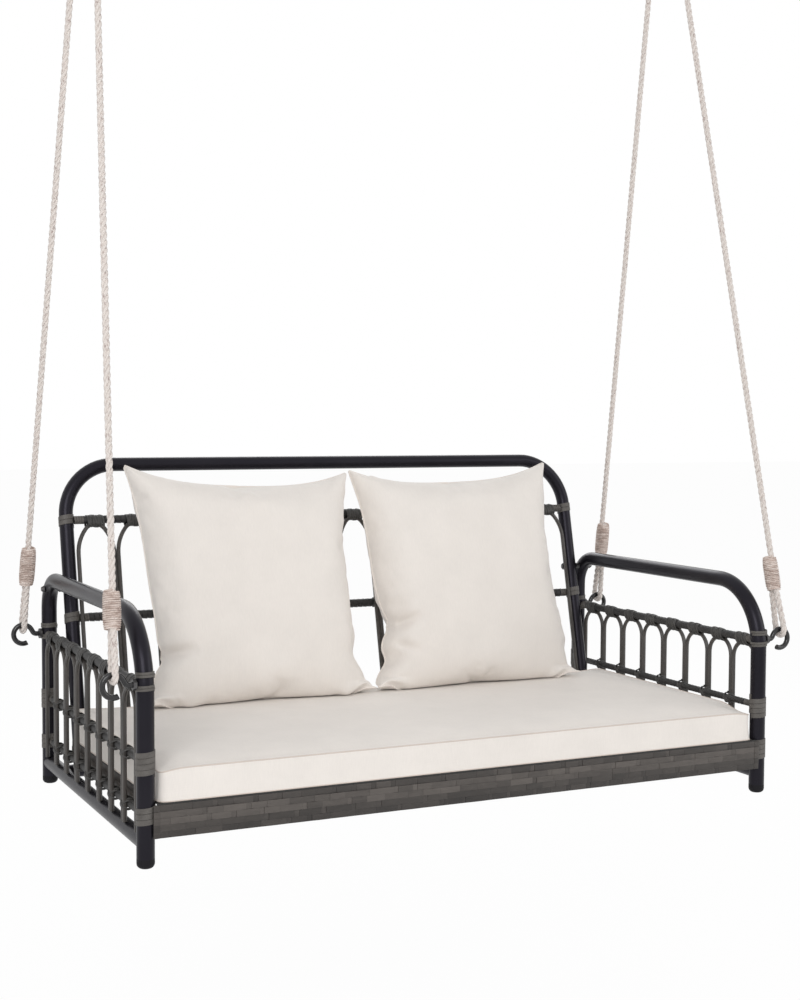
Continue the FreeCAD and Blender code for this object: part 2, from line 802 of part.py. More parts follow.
def hooks():
    """Four hooks in the legs' outer walls, each held by a nut outside and a nut inside the leg."""
    nuts = []
    outer_face = size("arm_tube") / 2 + size("weld_gap")
    for side, sign in SIDES:
        for end, way in ENDS:
            label = "hook_%s_%s" % (end, side)
            edges = hook_path(sign)
            ring = Part.Wire(Part.makeCircle(size("hook_wire") / 2, edges[0].Vertexes[0].Point, Vector(sign, 0, 0)))
            hook = feature(label, tube_along(edges, ring))
            set_down(hook, "%d * Sizes.leg_spread" % sign, "%d * Sizes.leg_depth" % way, HOOK_HEIGHT)
            leg = Vector(sign * size("leg_spread"), way * size("leg_depth"), hook_height)
            for facing, face in ((1, outer_face), (-1, inner_nut_face())):
                nuts.append(
                    hex_nut(
                        leg + Vector(sign * face, 0, 0),
                        Vector(sign * facing, 0, 0),
                        size("nut_across_flats"),
                        size("nut_thickness"),
                        size("hook_wire") + 2 * size("weld_gap"),
                    )
                )
    set_down(feature("hook_nuts", Part.makeCompound(nuts)))


hooks()

# Hanging rings

for side, sign in SIDES:
    ring = doc.addObject("Part::Torus", "hang_ring_" + side)
    bind(ring, Radius1=cell("ring_radius"), Radius2="Sizes.ring_wire / 2")
    shift(ring, "%d * Sizes.ring_spread" % sign, "0", cell("ring_radius"), ALONG_Y)
    node(ring, "hang_ring_" + side)

# Ropes and their seizings


class RopePlane:
    """The plane in which one side's rope runs: both hooks and the ring lie in it."""

    def __init__(self, sign):
        self.ring = Vector(sign * size("ring_spread"), size("axis_back"), size("hang_height"))
        hook_x = sign * (size("leg_spread") + size("hook_reach"))
        hook_z = hook_height + size("hook_radius")
        self.hooks = {}
        for end, way in ENDS:
            self.hooks[end] = Vector(hook_x, way * size("leg_depth"), hook_z)
        self.across = Vector(0, 1, 0)
        climb = Vector(self.ring.x - hook_x, 0, self.ring.z - hook_z)
        self.climb = climb.Length
        self.up = climb.normalize()

    def angle(self, end, way):
        """The direction of a main run: it leaves its hook's seizing off the middle and meets the ring's side."""
        run = self.ring.y - self.hooks[end].y
        reach = math.hypot(run, self.climb)
        aside = rope_over(size("ring_wire")) - rope_spacing() / 2
        return math.degrees(math.atan2(self.climb, run) - way * math.asin(aside / reach))

    def unit(self, degrees):
        turn = math.radians(degrees)
        return self.across * math.cos(turn) + self.up * math.sin(turn)


def rope_over(wire):
    """How far the middle of the rope lies from the middle of a wire that it passes over."""
    return wire / 2 + size("rope_diameter") / 2 + size("rope_clearance")


def rope_spacing():
    """The distance between the two legs of an eye, in its seizing."""
    return size("rope_diameter") + size("rope_clearance")


def rope_edges(plane):
    """Tail, eye, main run, over the ring, main run, eye and tail."""
    wire = rope_over(size("hook_wire"))
    over = rope_over(size("ring_wire"))
    half = rope_spacing() / 2
    length = size("eye_length")
    bend = size("eye_bend")
    tilt = math.atan2(length, half) - math.acos(wire / math.hypot(length, half))
    slack = bend * math.tan(tilt / 2)
    seized = size("seizing_turn_count") * size("seizing_pitch")
    spread = math.degrees(tilt)
    edges = []
    tops = {}
    for end, way in ENDS:
        hook = plane.hooks[end]
        along = plane.unit(plane.angle(end, way))
        tops[end] = plane.angle(end, way) - way * 90
        out = plane.unit(tops[end])
        for side, stop in (
            (out, plane.ring + out * over),
            (out * -1, hook - out * half + along * (length + seized)),
        ):
            leave = hook + side * (wire * math.cos(tilt)) + along * (wire * math.sin(tilt))
            corner = hook + side * half + along * length
            straighten = corner + along * slack
            edges.append(arc(hook, wire, spread, -90, side, along))
            edges.append(line(leave, corner + (leave - corner).normalize() * slack))
            edges.append(arc(straighten + side * bend, bend, 180 + spread, 180, side, along))
            edges.append(line(straighten, stop))
    edges.append(arc(plane.ring, over, tops["front"], tops["rear"], plane.across, plane.up))
    return Part.sortEdges(edges)[0]


def biarc(start, start_way, end, end_way):
    """Two arcs with a common tangent between two points with given directions."""
    chord = end - start
    both = start_way + end_way
    spread = 2 * (1 - start_way.dot(end_way))
    reach = (math.sqrt(chord.dot(both) ** 2 + spread * chord.dot(chord)) - chord.dot(both)) / spread
    joint = (start + start_way * reach + end - end_way * reach) * 0.5
    return [bow(start, joint, start_way), bow(joint, end, end_way * -1, True)]


def bow(start, end, way, at_end=False):
    """An arc between two points, given its direction at the start, or backwards at the end."""
    chord = end - start
    if at_end:
        chord = chord * -1
    along = Vector(chord).normalize()
    side = way - along * way.dot(along)
    sag = chord.Length / 2 * math.tan(math.acos(max(-1, min(1, way.dot(along)))) / 2)
    middle = (start + end) * 0.5 + side.normalize() * sag
    return Part.Arc(start, middle, end).toShape()


def winding(base, axis, radius, turns, pitch):
    """The middle line of one unbroken twine wound round an axis, in half-turn biarcs."""
    first = Vector(1, 0, 0)
    first = (first - axis * first.dot(axis)).normalize()
    second = axis.cross(first)
    slope = pitch / (2 * math.pi * radius)

    def point(turn):
        spot = first * (radius * math.cos(turn)) + second * (radius * math.sin(turn))
        return base + spot + axis * (pitch * turn / (2 * math.pi))

    def way(turn):
        return (second * math.cos(turn) - first * math.sin(turn) + axis * slope).normalize()

    edges = []
    for half in range(2 * turns):
        start = half * math.pi
        end = start + math.pi
        edges += biarc(point(start), way(start), point(end), way(end))
    return edges


def seizings():
    """The twine wound round both legs of each eye, with its loops."""
    turns = int(size("seizing_turn_count"))
    pitch = size("seizing_pitch")
    twine = size("seizing_twine")
    radius = (rope_spacing() + size("rope_diameter") + twine) / 2 + size("seizing_clearance")
    wound = []
    gap = pitch
    for _, sign in SIDES:
        plane = RopePlane(sign)
        for end, way in ENDS:
            along = plane.unit(plane.angle(end, way))
            base = plane.hooks[end] + along * size("eye_length")
            edges = winding(base, along, radius, turns, pitch)
            wound.append(bar(edges, twine, 4))
            gap = min(gap, self_gap(edges, twine))
    print("seizing: %d loops, least gap to itself %.2f mm" % (turns, gap))
    set_down(feature("rope_seizings", Part.makeCompound(wound)))


def self_gap(edges, twine):
    """The least gap between loops of a winding, on points along its middle line."""
    points = []
    for edge in edges:
        points += edge.discretize(9)[:-1]
    per_turn = 4 * 8
    corner = twine / 2 * math.sqrt(math.pi / 2)
    least = 1e9
    for index, spot in enumerate(points):
        for other in points[index + per_turn // 2: index + 2 * per_turn]:
            least = min(least, spot.distanceToPoint(other))
    return least - 2 * corner


for side, sign in SIDES:
    plane = RopePlane(sign)
    edges = rope_edges(plane)
    rope = feature("rope_" + side, bar(edges, size("rope_diameter")))
    print("rope_%s: length %.0f mm" % (side, Part.Wire(edges).Length))
    set_down(rope)

seizings()

# Cushions


def rounded_rectangle(half_x, front, rear, corner, z):
    """A level outline of four lines and four quarter arcs."""
    middle = (front + rear) / 2
    half_y = (rear - front) / 2
    edges = []
    across = Vector(1, 0, 0)
    up = Vector(0, 1, 0)
    turns = ((1, 1, 0), (-1, 1, 90), (-1, -1, 180), (1, -1, 270))
    for sign_x, sign_y, first in turns:
        centre = Vector(sign_x * (half_x - corner), middle + sign_y * (half_y - corner), z)
        edges.append(arc(centre, corner, first, first + 90, across, up))
    for index in range(4):
        edges.append(line(edges[index].Vertexes[-1].Point, edges[(index + 1) % 4].Vertexes[0].Point))
    return Part.Wire(Part.sortEdges(edges)[0])


DECK_TOP = size("seat_tube_height") + size("seat_tube") / 2 + size("deck_thickness")


def seat_cushion():
    """A box cushion with drawn-in sides and a crowned top, loose on the seat."""
    half = size("leg_spread") - size("arm_tube") / 2 - size("cushion_side_gap")
    front = -size("leg_depth") - size("arm_tube") / 2
    bottom = DECK_TOP + size("soft_clearance")
    canes = (size("back_rail") / 2 + size("cane") + size("cane_seat")) / math.cos(lean)
    rear = back_foot + bottom * math.tan(lean) - canes - size("cushion_rear_gap")
    tall = size("cushion_height")
    crown = size("cushion_crown")
    corner = size("cushion_corner")
    roll = size("cushion_roll")
    levels = (
        (0.0, roll * 0.8),
        (roll, 0.0),
        (tall / 2, size("cushion_draw")),
        (tall - roll, 0.0),
        (tall, roll * 0.8),
        (tall + crown * 0.6, corner * 1.6),
        (tall + crown, corner * 4.0),
    )
    outlines = []
    for rise, inset in levels:
        outlines.append(
            rounded_rectangle(half - inset, front + inset, rear - inset, corner, bottom + rise)
        )
    set_down(feature("seat_cushion", Part.makeLoft(outlines, True, True)))


seat_cushion()


def pillow_outline(inset, depth):
    """Four arcs between the corners, drawn in at the seam and bulging near the crown."""
    half_x = size("pillow_width") / 2 - inset
    half_z = size("pillow_height") / 2 - inset
    draw = size("pillow_draw") * (1 - 2.0 * inset / (size("pillow_height") / 2))
    corners = [
        Vector(-half_x, depth, -half_z),
        Vector(half_x, depth, -half_z),
        Vector(half_x, depth, half_z),
        Vector(-half_x, depth, half_z),
    ]
    inward = (Vector(0, 0, 1), Vector(-1, 0, 0), Vector(0, 0, -1), Vector(1, 0, 0))
    edges = []
    for index, corner in enumerate(corners):
        following = corners[(index + 1) % 4]
        middle = (corner + following) * 0.5 + inward[index] * draw
        edges.append(Part.Arc(corner, middle, following).toShape())
    return Part.Wire(edges)


PILLOW_LEVELS = ((0.04, 0.0), (0.45, 0.13), (0.76, 0.34), (0.93, 0.58), (1.0, 0.84))


def pillow(side, sign):
    """A square scatter cushion with a seam all round, leaning on the back."""
    thick = size("pillow_thickness") / 2
    half = size("pillow_height") / 2
    outlines = []
    for share, inset in reversed(PILLOW_LEVELS):
        outlines.append(pillow_outline(inset * half, -share * thick))
    for share, inset in PILLOW_LEVELS:
        outlines.append(pillow_outline(inset * half, share * thick))
    shape = Part.makeLoft(outlines, True, True)
    tilt = math.radians(size("pillow_lean_angle"))
    rest = DECK_TOP + 2 * size("soft_clearance") + size("cushion_height") + size("cushion_crown")
    z = rest + half * math.cos(tilt) + PILLOW_LEVELS[0][0] * thick * math.sin(tilt)
    canes = size("back_rail") / 2 + size("cane") + size("cane_seat")
    flat = half * (1 - PILLOW_LEVELS[-1][1]) + size("pillow_draw")
    reach = thick * math.cos(tilt - lean) + flat * math.sin(tilt - lean)
    clear = back_foot * math.cos(lean) - canes - reach - size("soft_clearance")
    y = (clear + z * math.sin(lean)) / math.cos(lean)
    x = sign * (size("pillow_width") + size("pillow_gap")) / 2
    obj = feature("pillow_" + side, shape)
    spot = Vector(x, y - size("axis_back"), z - size("hang_height"))
    obj.Placement = FreeCAD.Placement(spot, Rotation(Vector(-1, 0, 0), size("pillow_lean_angle")))


for side, sign in SIDES:
    pillow(side, sign)

# Check every object, then write each piece

doc.recompute()
for obj in doc.Objects:
    if "Invalid" in obj.State or "Error" in obj.State:
        raise RuntimeError("%s failed: %s" % (obj.Label, obj.State))
for obj in nodes:
    if obj.Shape.isNull() or not obj.Shape.isValid():
        raise RuntimeError("%s has no valid shape" % obj.Label)

os.makedirs("parts", exist_ok=True)
for obj in nodes:
    obj.Shape.exportStep("parts/%s.step" % obj.Label)
print("%d pieces written" % len(nodes))
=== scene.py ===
"""Looks of a hanging garden swing: laid ropes, lashed canes, woven seat bands and cream cushions.

Everything is in metres, in the frame of the CAD model: the origin is midway between the two
hanging rings, X runs along the seat, Y towards the back and Z up.
"""
import bpy
import math
import random
from bisect import bisect
from mathutils import Matrix, Vector


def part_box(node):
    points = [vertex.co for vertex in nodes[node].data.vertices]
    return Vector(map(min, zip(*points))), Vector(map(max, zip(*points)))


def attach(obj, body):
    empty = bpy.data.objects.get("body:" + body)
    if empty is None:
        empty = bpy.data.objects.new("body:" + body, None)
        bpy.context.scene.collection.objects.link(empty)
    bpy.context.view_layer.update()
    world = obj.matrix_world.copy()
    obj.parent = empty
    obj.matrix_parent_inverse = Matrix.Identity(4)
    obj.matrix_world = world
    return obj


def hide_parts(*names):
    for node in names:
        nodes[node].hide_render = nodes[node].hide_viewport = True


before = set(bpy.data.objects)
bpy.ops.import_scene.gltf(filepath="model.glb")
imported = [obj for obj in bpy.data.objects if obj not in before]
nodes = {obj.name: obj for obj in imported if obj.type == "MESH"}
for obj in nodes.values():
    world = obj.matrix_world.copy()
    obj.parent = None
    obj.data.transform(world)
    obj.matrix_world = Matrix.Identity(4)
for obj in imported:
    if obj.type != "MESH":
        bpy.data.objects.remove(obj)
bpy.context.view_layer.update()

# Sizes that the CAD model also has

HANG_HEIGHT = 1.890
AXIS_BACK = 0.014
RING_SPREAD = 0.610
HOOK_X = 0.671
HOOK_HEIGHT = 0.3195
LEG_SPREAD = 0.619
LEG_DEPTH = 0.328
LEG_RADIUS = 0.015
EYE_HALF = 0.0062
RING_SIDE = 0.0114
BACK_FOOT = 0.2186
BACK_LEAN = math.radians(12.8)
POST_SPREAD = 0.5815
POST_RADIUS = 0.014
BACK_UPPER = 0.536
BACK_LOWER = 0.341
BACK_UPPER_AHEAD = 0.0056
SIDES = (("left", -1), ("right", 1))
ENDS = (("front", -1), ("rear", 1))
QUARTER = math.pi / 2
TURN = 2 * math.pi
ALONG_X = Vector((1, 0, 0))
ALONG_Y = Vector((0, 1, 0))
UP = Vector((0, 0, 1))


def bench(x, y, z):
    """A point given from the feet, in the model's own frame."""
    return Vector((x, y - AXIS_BACK, z - HANG_HEIGHT))


def on_back(x, forward, length):
    """A point in front of the leaning back, by its length up the back."""
    y = BACK_FOOT + length * math.sin(BACK_LEAN) - forward * math.cos(BACK_LEAN)
    z = length * math.cos(BACK_LEAN) + forward * math.sin(BACK_LEAN)
    return bench(x, y, z)


def eased(share):
    """A share held between 0 and 1, with a gentle start and end."""
    share = min(max(share, 0.0), 1.0)
    return share ** 2 * (3 - 2 * share)


# Selecting, applying and joining


def pick(*objects):
    """Select these objects alone and make the first one active."""
    bpy.ops.object.select_all(action="DESELECT")
    for obj in objects:
        obj.select_set(True)
    bpy.context.view_layer.objects.active = objects[0]


def newest(name):
    """Name the primitive that was just added."""
    obj = bpy.context.active_object
    obj.name = name
    obj.data.name = name
    return obj


def settle(obj, place=None):
    """Move a piece by a matrix and leave its place in its mesh."""
    if place is not None:
        obj.matrix_world = place @ obj.matrix_world
    pick(obj)
    bpy.ops.object.transform_apply(location=True, rotation=True, scale=True)
    return obj


def apply_all(obj):
    pick(obj)
    for modifier in list(obj.modifiers):
        bpy.ops.object.modifier_apply(modifier=modifier.name)


def refine(obj):
    """Subdivide a piece once and leave the result in its mesh."""
    finer = obj.modifiers.new("refine", "SUBSURF")
    finer.levels = 1
    finer.render_levels = 1
    apply_all(obj)


def edit(choice=None):
    """Enter edit mode, with everything or nothing selected if a choice is given."""
    bpy.ops.object.mode_set(mode="EDIT")
    if choice:
        bpy.ops.mesh.select_all(action=choice)


def leave_edit():
    bpy.ops.object.mode_set(mode="OBJECT")


def pick_by(kind):
    """Select points or edges from here on, in edit mode."""
    bpy.ops.mesh.select_mode(type=kind)


def edit_points(obj, wanted):
    """Enter edit mode with only those points selected whose place passes a test."""
    edit("DESELECT")
    leave_edit()
    for vertex in obj.data.vertices:
        vertex.select = wanted(vertex.co)
    edit()


def edit_edges(obj, wanted):
    """Enter edit mode with only those edges selected whose two ends pass a test."""
    edit()
    pick_by("EDGE")
    edit("DESELECT")
    leave_edit()
    points = obj.data.vertices
    for edge in obj.data.edges:
        edge.select = wanted(*(points[index].co for index in edge.vertices))
    edit()


def mend(obj, merge=1e-5):
    """Merge doubles, close open ends and turn all faces outwards."""
    pick(obj)
    edit("SELECT")
    bpy.ops.mesh.remove_doubles(threshold=merge)
    bpy.ops.mesh.fill_holes(sides=0)
    bpy.ops.mesh.select_all(action="SELECT")
    bpy.ops.mesh.normals_make_consistent(inside=False)
    leave_edit()
    return obj


def copy_to(obj, place):
    """A copy with its own mesh, moved by a matrix."""
    twin = obj.copy()
    twin.data = obj.data.copy()
    bpy.context.scene.collection.objects.link(twin)
    twin.data.transform(place)
    if place.is_negative:
        twin.data.flip_normals()
    return twin


def axes_matrix(centre, first, third):
    """A matrix that puts local X and Z along two square directions at a point."""
    first, third = first.normalized(), third.normalized()
    turn = Matrix((first, third.cross(first), third)).transposed().to_4x4()
    return Matrix.Translation(centre) @ turn


def placed(obj, centre, first, third):
    """A copy with its local X and Z along two directions at a point."""
    return copy_to(obj, axes_matrix(centre, first, third))


def join(name, objects):
    pick(*objects)
    bpy.ops.object.join()
    return newest(name)


def drop(obj):
    bpy.data.objects.remove(obj, do_unlink=True)


def smooth(obj, degrees=40):
    pick(obj)
    bpy.ops.object.shade_smooth_by_angle(angle=math.radians(degrees))
    return obj


# Materials


class Finish:
    """A material under construction, with short ways to add its nodes."""

    def __init__(self, name):
        self.material = bpy.data.materials.new(name)
        self.material.use_nodes = True
        self.tree = self.material.node_tree
        self.shader = self.tree.nodes["Principled BSDF"]
        self.place = self.tree.nodes.new("ShaderNodeTexCoord").outputs["Object"]

    def connect(self, value, socket):
        """Link another node's output to a socket, or set the socket's own value."""
        if isinstance(value, bpy.types.NodeSocket):
            self.tree.links.new(value, socket)
        else:
            socket.default_value = value

    def add(self, kind, inputs=None, **settings):
        node = self.tree.nodes.new(kind)
        for key, value in settings.items():
            setattr(node, key, value)
        for key, value in (inputs or {}).items():
            self.connect(value, node.inputs[key])
        return node

    def stretched(self, scale):
        """Object coordinates, scaled along each axis."""
        mapping = self.add("ShaderNodeMapping", {"Vector": self.place, "Scale": scale})
        return mapping.outputs["Vector"]

    def noise(self, scale, detail):
        where = self.stretched(scale)
        node = self.add("ShaderNodeTexNoise", {"Vector": where, "Scale": 1.0, "Detail": detail})
        return node.outputs["Fac"]

    def ramp(self, factor, stops):
        """Colours along a factor, each stop a position and an RGB."""
        node = self.add("ShaderNodeValToRGB", {"Fac": factor})
        elements = node.color_ramp.elements
        while len(elements) < len(stops):
            elements.new(0.5)
        for element, (position, colour) in zip(elements, stops):
            element.position = position
            element.color = (*colour, 1)
        return node.outputs["Color"]

    def spread(self, factor, low, high):
        """A factor mapped from 0..1 to a range."""
        node = self.add("ShaderNodeMapRange", {"Value": factor, "To Min": low, "To Max": high})
        return node.outputs["Result"]

    def maths(self, operation, first, second):
        return self.add("ShaderNodeMath", {0: first, 1: second}, operation=operation).outputs[0]

    def total(self, *parts):
        """A weighted sum of factors."""
        whole = None
        for factor, weight in parts:
            part = self.maths("MULTIPLY", factor, weight)
            whole = part if whole is None else self.maths("ADD", whole, part)
        return whole

    def mix(self, factor, first, second):
        sockets = {0: factor, 6: first, 7: second}
        return self.add("ShaderNodeMix", sockets, data_type="RGBA").outputs[2]

    def bump(self, height, strength, distance, under=None):
        inputs = {"Height": height, "Strength": strength, "Distance": distance}
        if under is not None:
            inputs["Normal"] = under
        return self.add("ShaderNodeBump", inputs).outputs["Normal"]

    def wear(self, **sockets):
        """Connect or set the shader's own sockets; a double underscore stands for a space."""
        for key, value in sockets.items():
            self.connect(value, self.shader.inputs[key.replace("__", " ")])
        return self.material


def black_coat():
    """Satin black powder coat with a faint orange peel and dusty patches."""
    finish = Finish("black_coat")
    patches = finish.noise((9, 9, 9), 4)
    peel = finish.noise((900, 900, 900), 2)
    colour = finish.ramp(patches, [(0.3, (0.0065, 0.0060, 0.0080)), (0.7, (0.0105, 0.0098, 0.0125))])
    return finish.wear(
        Base__Color=colour,
        Roughness=finish.spread(patches, 0.26, 0.36),
        Specular__IOR__Level=0.21,
        Specular__Tint=(0.86, 0.82, 1.0, 1),
        Normal=finish.bump(peel, 0.12, 0.0003),
    )


def fibrous(name, grain, tone, share, stops, rough, bump, **more):
    """A finish coloured by two noises, with its gloss and its relief after the first of them."""
    finish = Finish(name)
    grain = finish.noise(*grain)
    tone = finish.noise(*tone)
    return finish.wear(
        Base__Color=finish.ramp(finish.total((grain, share), (tone, 1 - share)), stops),
        Roughness=finish.spread(grain, *rough),
        Normal=finish.bump(grain, *bump),
        **more,
    )


def cane_skin():
    """Dark grey-brown cane with fine grain along its length."""
    dark, middle, light = (0.022, 0.0198, 0.018), (0.053, 0.047, 0.0428), (0.092, 0.082, 0.0745)
    return fibrous(
        "cane_skin",
        ((700, 700, 14), 3),
        ((60, 60, 5), 2),
        0.6,
        [(0.30, dark), (0.52, middle), (0.75, light)],
        (0.36, 0.52),
        (0.35, 0.0004),
    )


def binding_strip(name, dark, light):
    """Flat strip of the lashings: matte, with fine ribs and paler patches."""
    return fibrous(
        name,
        ((260, 260, 900), 2),
        ((45, 45, 45), 4),
        0.4,
        [(0.3, dark), (0.7, light)],
        (0.48, 0.66),
        (0.4, 0.0004),
    )


def twine_fibre():
    """Beige twine of the seizings, slightly rosy, with fine darker streaks that are painted shade,
    standing for the shade between its turns.
    """
    dark, middle, light = (0.38, 0.28, 0.24), (0.62, 0.51, 0.455), (0.80, 0.72, 0.67)
    return fibrous(
        "twine_fibre",
        ((700, 700, 1200), 2),
        ((60, 60, 240), 3),
        0.5,
        [(0.38, dark), (0.5, middle), (0.62, light)],
        (0.8, 0.95),
        (0.4, 0.0005),
        Specular__IOR__Level=0.25,
    )


def band_weave():
    """Strip of the woven bands: each length of strip has its own shade, darkened in the top and bottom
    rows as painted shade, and fine ribs.
    """
    finish = Finish("band_weave")
    shade = finish.add("ShaderNodeAttribute", attribute_name="strip_shade").outputs["Fac"]
    ribs = finish.noise((30, 900, 1400), 2)
    mottle = finish.noise((55, 55, 160), 3)
    mixed = finish.total((shade, 0.55), (ribs, 0.2), (mottle, 0.25))
    dark, middle, light = (0.018, 0.0150, 0.0132), (0.050, 0.0427, 0.0380), (0.108, 0.094, 0.084)
    colour = finish.ramp(mixed, [(0.15, dark), (0.5, middle), (0.85, light)])
    return finish.wear(
        Base__Color=colour,
        Roughness=finish.spread(ribs, 0.42, 0.58),
        Normal=finish.bump(ribs, 0.3, 0.0004),
    )


def hidden_weave():
    """The woven seat deck under the cushion: its strips drawn by a brick pattern."""
    finish = Finish("hidden_weave")
    bricks = finish.add(
        "ShaderNodeTexBrick",
        {
            "Vector": finish.stretched((1, 1, 1)),
            "Color1": (0.036, 0.032, 0.029, 1),
            "Color2": (0.075, 0.067, 0.062, 1),
            "Mortar": (0.012, 0.011, 0.010, 1),
            "Scale": 1.0,
            "Mortar Size": 0.0012,
            "Mortar Smooth": 0.3,
            "Brick Width": 0.036,
            "Row Height": 0.012,
        },
    )
    ribs = finish.noise((30, 1200, 1200), 2)
    return finish.wear(
        Base__Color=bricks.outputs["Color"],
        Roughness=finish.spread(ribs, 0.45, 0.62),
        Normal=finish.bump(bricks.outputs["Fac"], -0.6, 0.0015, finish.bump(ribs, 0.25, 0.0004)),
    )


def cream_cloth(name, tint):
    """Cream canvas: fine crossing threads, soft mottling and a little sheen."""
    finish = Finish(name)
    warp = finish.add(
        "ShaderNodeTexWave",
        {"Vector": finish.stretched((1, 0.2, 0.2)), "Scale": 240.0, "Distortion": 1.0, "Detail": 1.0},
    ).outputs["Fac"]
    weft = finish.add(
        "ShaderNodeTexWave",
        {"Vector": finish.stretched((0.2, 1, 1)), "Scale": 220.0, "Distortion": 1.0, "Detail": 1.0},
        bands_direction="DIAGONAL",
    ).outputs["Fac"]
    threads = finish.maths("MULTIPLY", warp, weft)
    mottle = finish.noise((16, 16, 16), 4)
    slubs = finish.noise((500, 90, 90), 2)
    shade = finish.total((mottle, 0.6), (slubs, 0.4))
    pale = tuple(min(1.0, part * 1.035) for part in tint)
    deep = tuple(part * 0.965 for part in tint)
    colour = finish.ramp(shade, [(0.3, deep), (0.7, pale)])
    return finish.wear(
        Base__Color=colour,
        Roughness=finish.spread(threads, 0.82, 0.95),
        Specular__IOR__Level=0.25,
        Sheen__Weight=0.25,
        Sheen__Roughness=0.5,
        Normal=finish.bump(threads, 0.16, 0.0004, finish.bump(mottle, 0.05, 0.003)),
    )


def rope_fibre():
    """Off-white laid fibre with pale grey and rosy flecks along the strands."""
    finish = Finish("rope_fibre")
    yarns = finish.noise((1500, 1500, 90), 2)
    flecks = finish.noise((420, 420, 110), 1)
    tone = finish.noise((30, 30, 12), 2)
    base = finish.ramp(yarns, [(0.3, (0.60, 0.55, 0.51)), (0.65, (0.80, 0.76, 0.72))])
    rosy = finish.mix(finish.spread(tone, 0.0, 0.35), base, (0.74, 0.62, 0.58, 1))
    spots = finish.ramp(flecks, [(0.60, (0, 0, 0)), (0.70, (1, 1, 1))])
    colour = finish.mix(spots, rosy, (0.42, 0.34, 0.32, 1))
    return finish.wear(
        Base__Color=colour,
        Roughness=finish.spread(yarns, 0.78, 0.95),
        Specular__IOR__Level=0.25,
        Sheen__Weight=0.2,
        Normal=finish.bump(yarns, 0.5, 0.0006),
    )


def metal(name, dark, light, metallic, rough):
    """Hardware: even metal or lacquer with faint scuffs."""
    finish = Finish(name)
    scuffs = finish.noise((160, 160, 160), 4)
    return finish.wear(
        Base__Color=finish.ramp(scuffs, [(0.35, dark), (0.7, light)]),
        Metallic=metallic,
        Roughness=finish.spread(scuffs, rough * 0.8, rough * 1.25),
        Normal=finish.bump(scuffs, 0.08, 0.0003),
    )


def foot_plastic():
    """Matte black plastic of the caps under the legs."""
    finish = Finish("foot_plastic")
    grain = finish.noise((800, 800, 800), 2)
    dark, light = (0.0070, 0.0066, 0.0080), (0.0120, 0.0112, 0.0135)
    return finish.wear(
        Base__Color=finish.ramp(grain, [(0.3, dark), (0.7, light)]),
        Roughness=finish.spread(grain, 0.5, 0.65),
        Specular__IOR__Level=0.15,
        Normal=finish.bump(grain, 0.2, 0.0003),
    )


COAT = black_coat()
CANE = cane_skin()
STRIP_PALE = binding_strip("binding_strip_pale", (0.058, 0.052, 0.047), (0.125, 0.115, 0.106))
STRIP_DARK = binding_strip("binding_strip_dark", (0.028, 0.027, 0.026), (0.066, 0.063, 0.060))
RAIL_STRIP = binding_strip("rail_strip", (0.010, 0.0097, 0.0100), (0.027, 0.0255, 0.0248))
BAND = band_weave()
HIDDEN = hidden_weave()
# Near-black backing of the woven bands: painted shade, the shadow line under the cushion and behind
# the strips and canes.
SHADOW_BACKING = binding_strip("band_backing_painted_shade", (0.006, 0.0055, 0.005), (0.014, 0.0125, 0.0115))
CLOTH = cream_cloth("cream_cloth", (0.815, 0.768, 0.722))
SEAM_CLOTH = cream_cloth("seam_cloth", (0.80, 0.745, 0.695))
# The seat's piping is darker than its cloth as painted shade, the shadow along the seam.
SEAT_PIPING_SHADE = cream_cloth("seat_piping_painted_shade", (0.66, 0.58, 0.52))
ROPE_FIBRE = rope_fibre()
TWINE = twine_fibre()
HOOK_BLACK = metal("hook_black", (0.010, 0.010, 0.011), (0.020, 0.019, 0.020), 0.0, 0.20)
NUT_ZINC = metal("nut_zinc", (0.07, 0.068, 0.07), (0.14, 0.135, 0.135), 0.9, 0.42)
RING_ZINC = metal("ring_zinc", (0.36, 0.36, 0.37), (0.52, 0.52, 0.53), 1.0, 0.35)
FOOT = foot_plastic()


def dress(piece, material, body=None):
    """Give a piece its material, and its body if one is given."""
    piece.data.materials.clear()
    piece.data.materials.append(material)
    if body is not None:
        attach(piece, body)
    return piece


def dress_nodes():
    """Materials of the CAD nodes that show as they are."""
    for name, node in nodes.items():
        material = COAT
        if name.endswith("_arches") or "_arches_" in name:
            material = CANE
        elif name == "seat_deck":
            material = HIDDEN
        # The aprons are near-black as painted shade behind the strips.
        elif "apron" in name:
            material = SHADOW_BACKING
        elif name == "foot_caps":
            material = FOOT
        elif name in ("hook_nuts", "back_bolts"):
            material = NUT_ZINC
        elif name.startswith(("hook_", "back_bolt_")):
            material = HOOK_BLACK
        elif name.startswith("hang_ring"):
            material = RING_ZINC
        for index in range(max(1, len(node.material_slots))):
            if not node.material_slots:
                node.data.materials.append(material)
            node.material_slots[index].material = material


dress_nodes()

# Camera at the photograph's view


def set_camera():
    """The camera of the photograph, solved from the bench's feet, arms and back."""
    azimuth, elevation, roll = (math.radians(angle) for angle in (-25.88, 3.077, 0.275))
    level = math.cos(elevation)
    ahead = Vector((-math.sin(azimuth) * level, math.cos(azimuth) * level, -math.sin(elevation)))
    right = ahead.cross(UP).normalized()
    rolled = Matrix.Rotation(-roll, 3, ahead) @ right
    bpy.ops.object.camera_add()
    camera = bpy.context.active_object
    camera.matrix_world = axes_matrix(bench(-1.3463, -2.7669, 0.7356), rolled, -ahead)
    camera.data.lens = 56.46
    camera.data.clip_end = 60
    bpy.context.scene.camera = camera


set_camera()

# Ropes

# Length of each hand-tied eye up to its seizing, and of the seizing, at the front and rear hooks
EYES = {
    "left": {-1: (0.070, 0.067), 1: (0.081, 0.078)},
    "right": {-1: (0.075, 0.070), 1: (0.095, 0.078)},
}
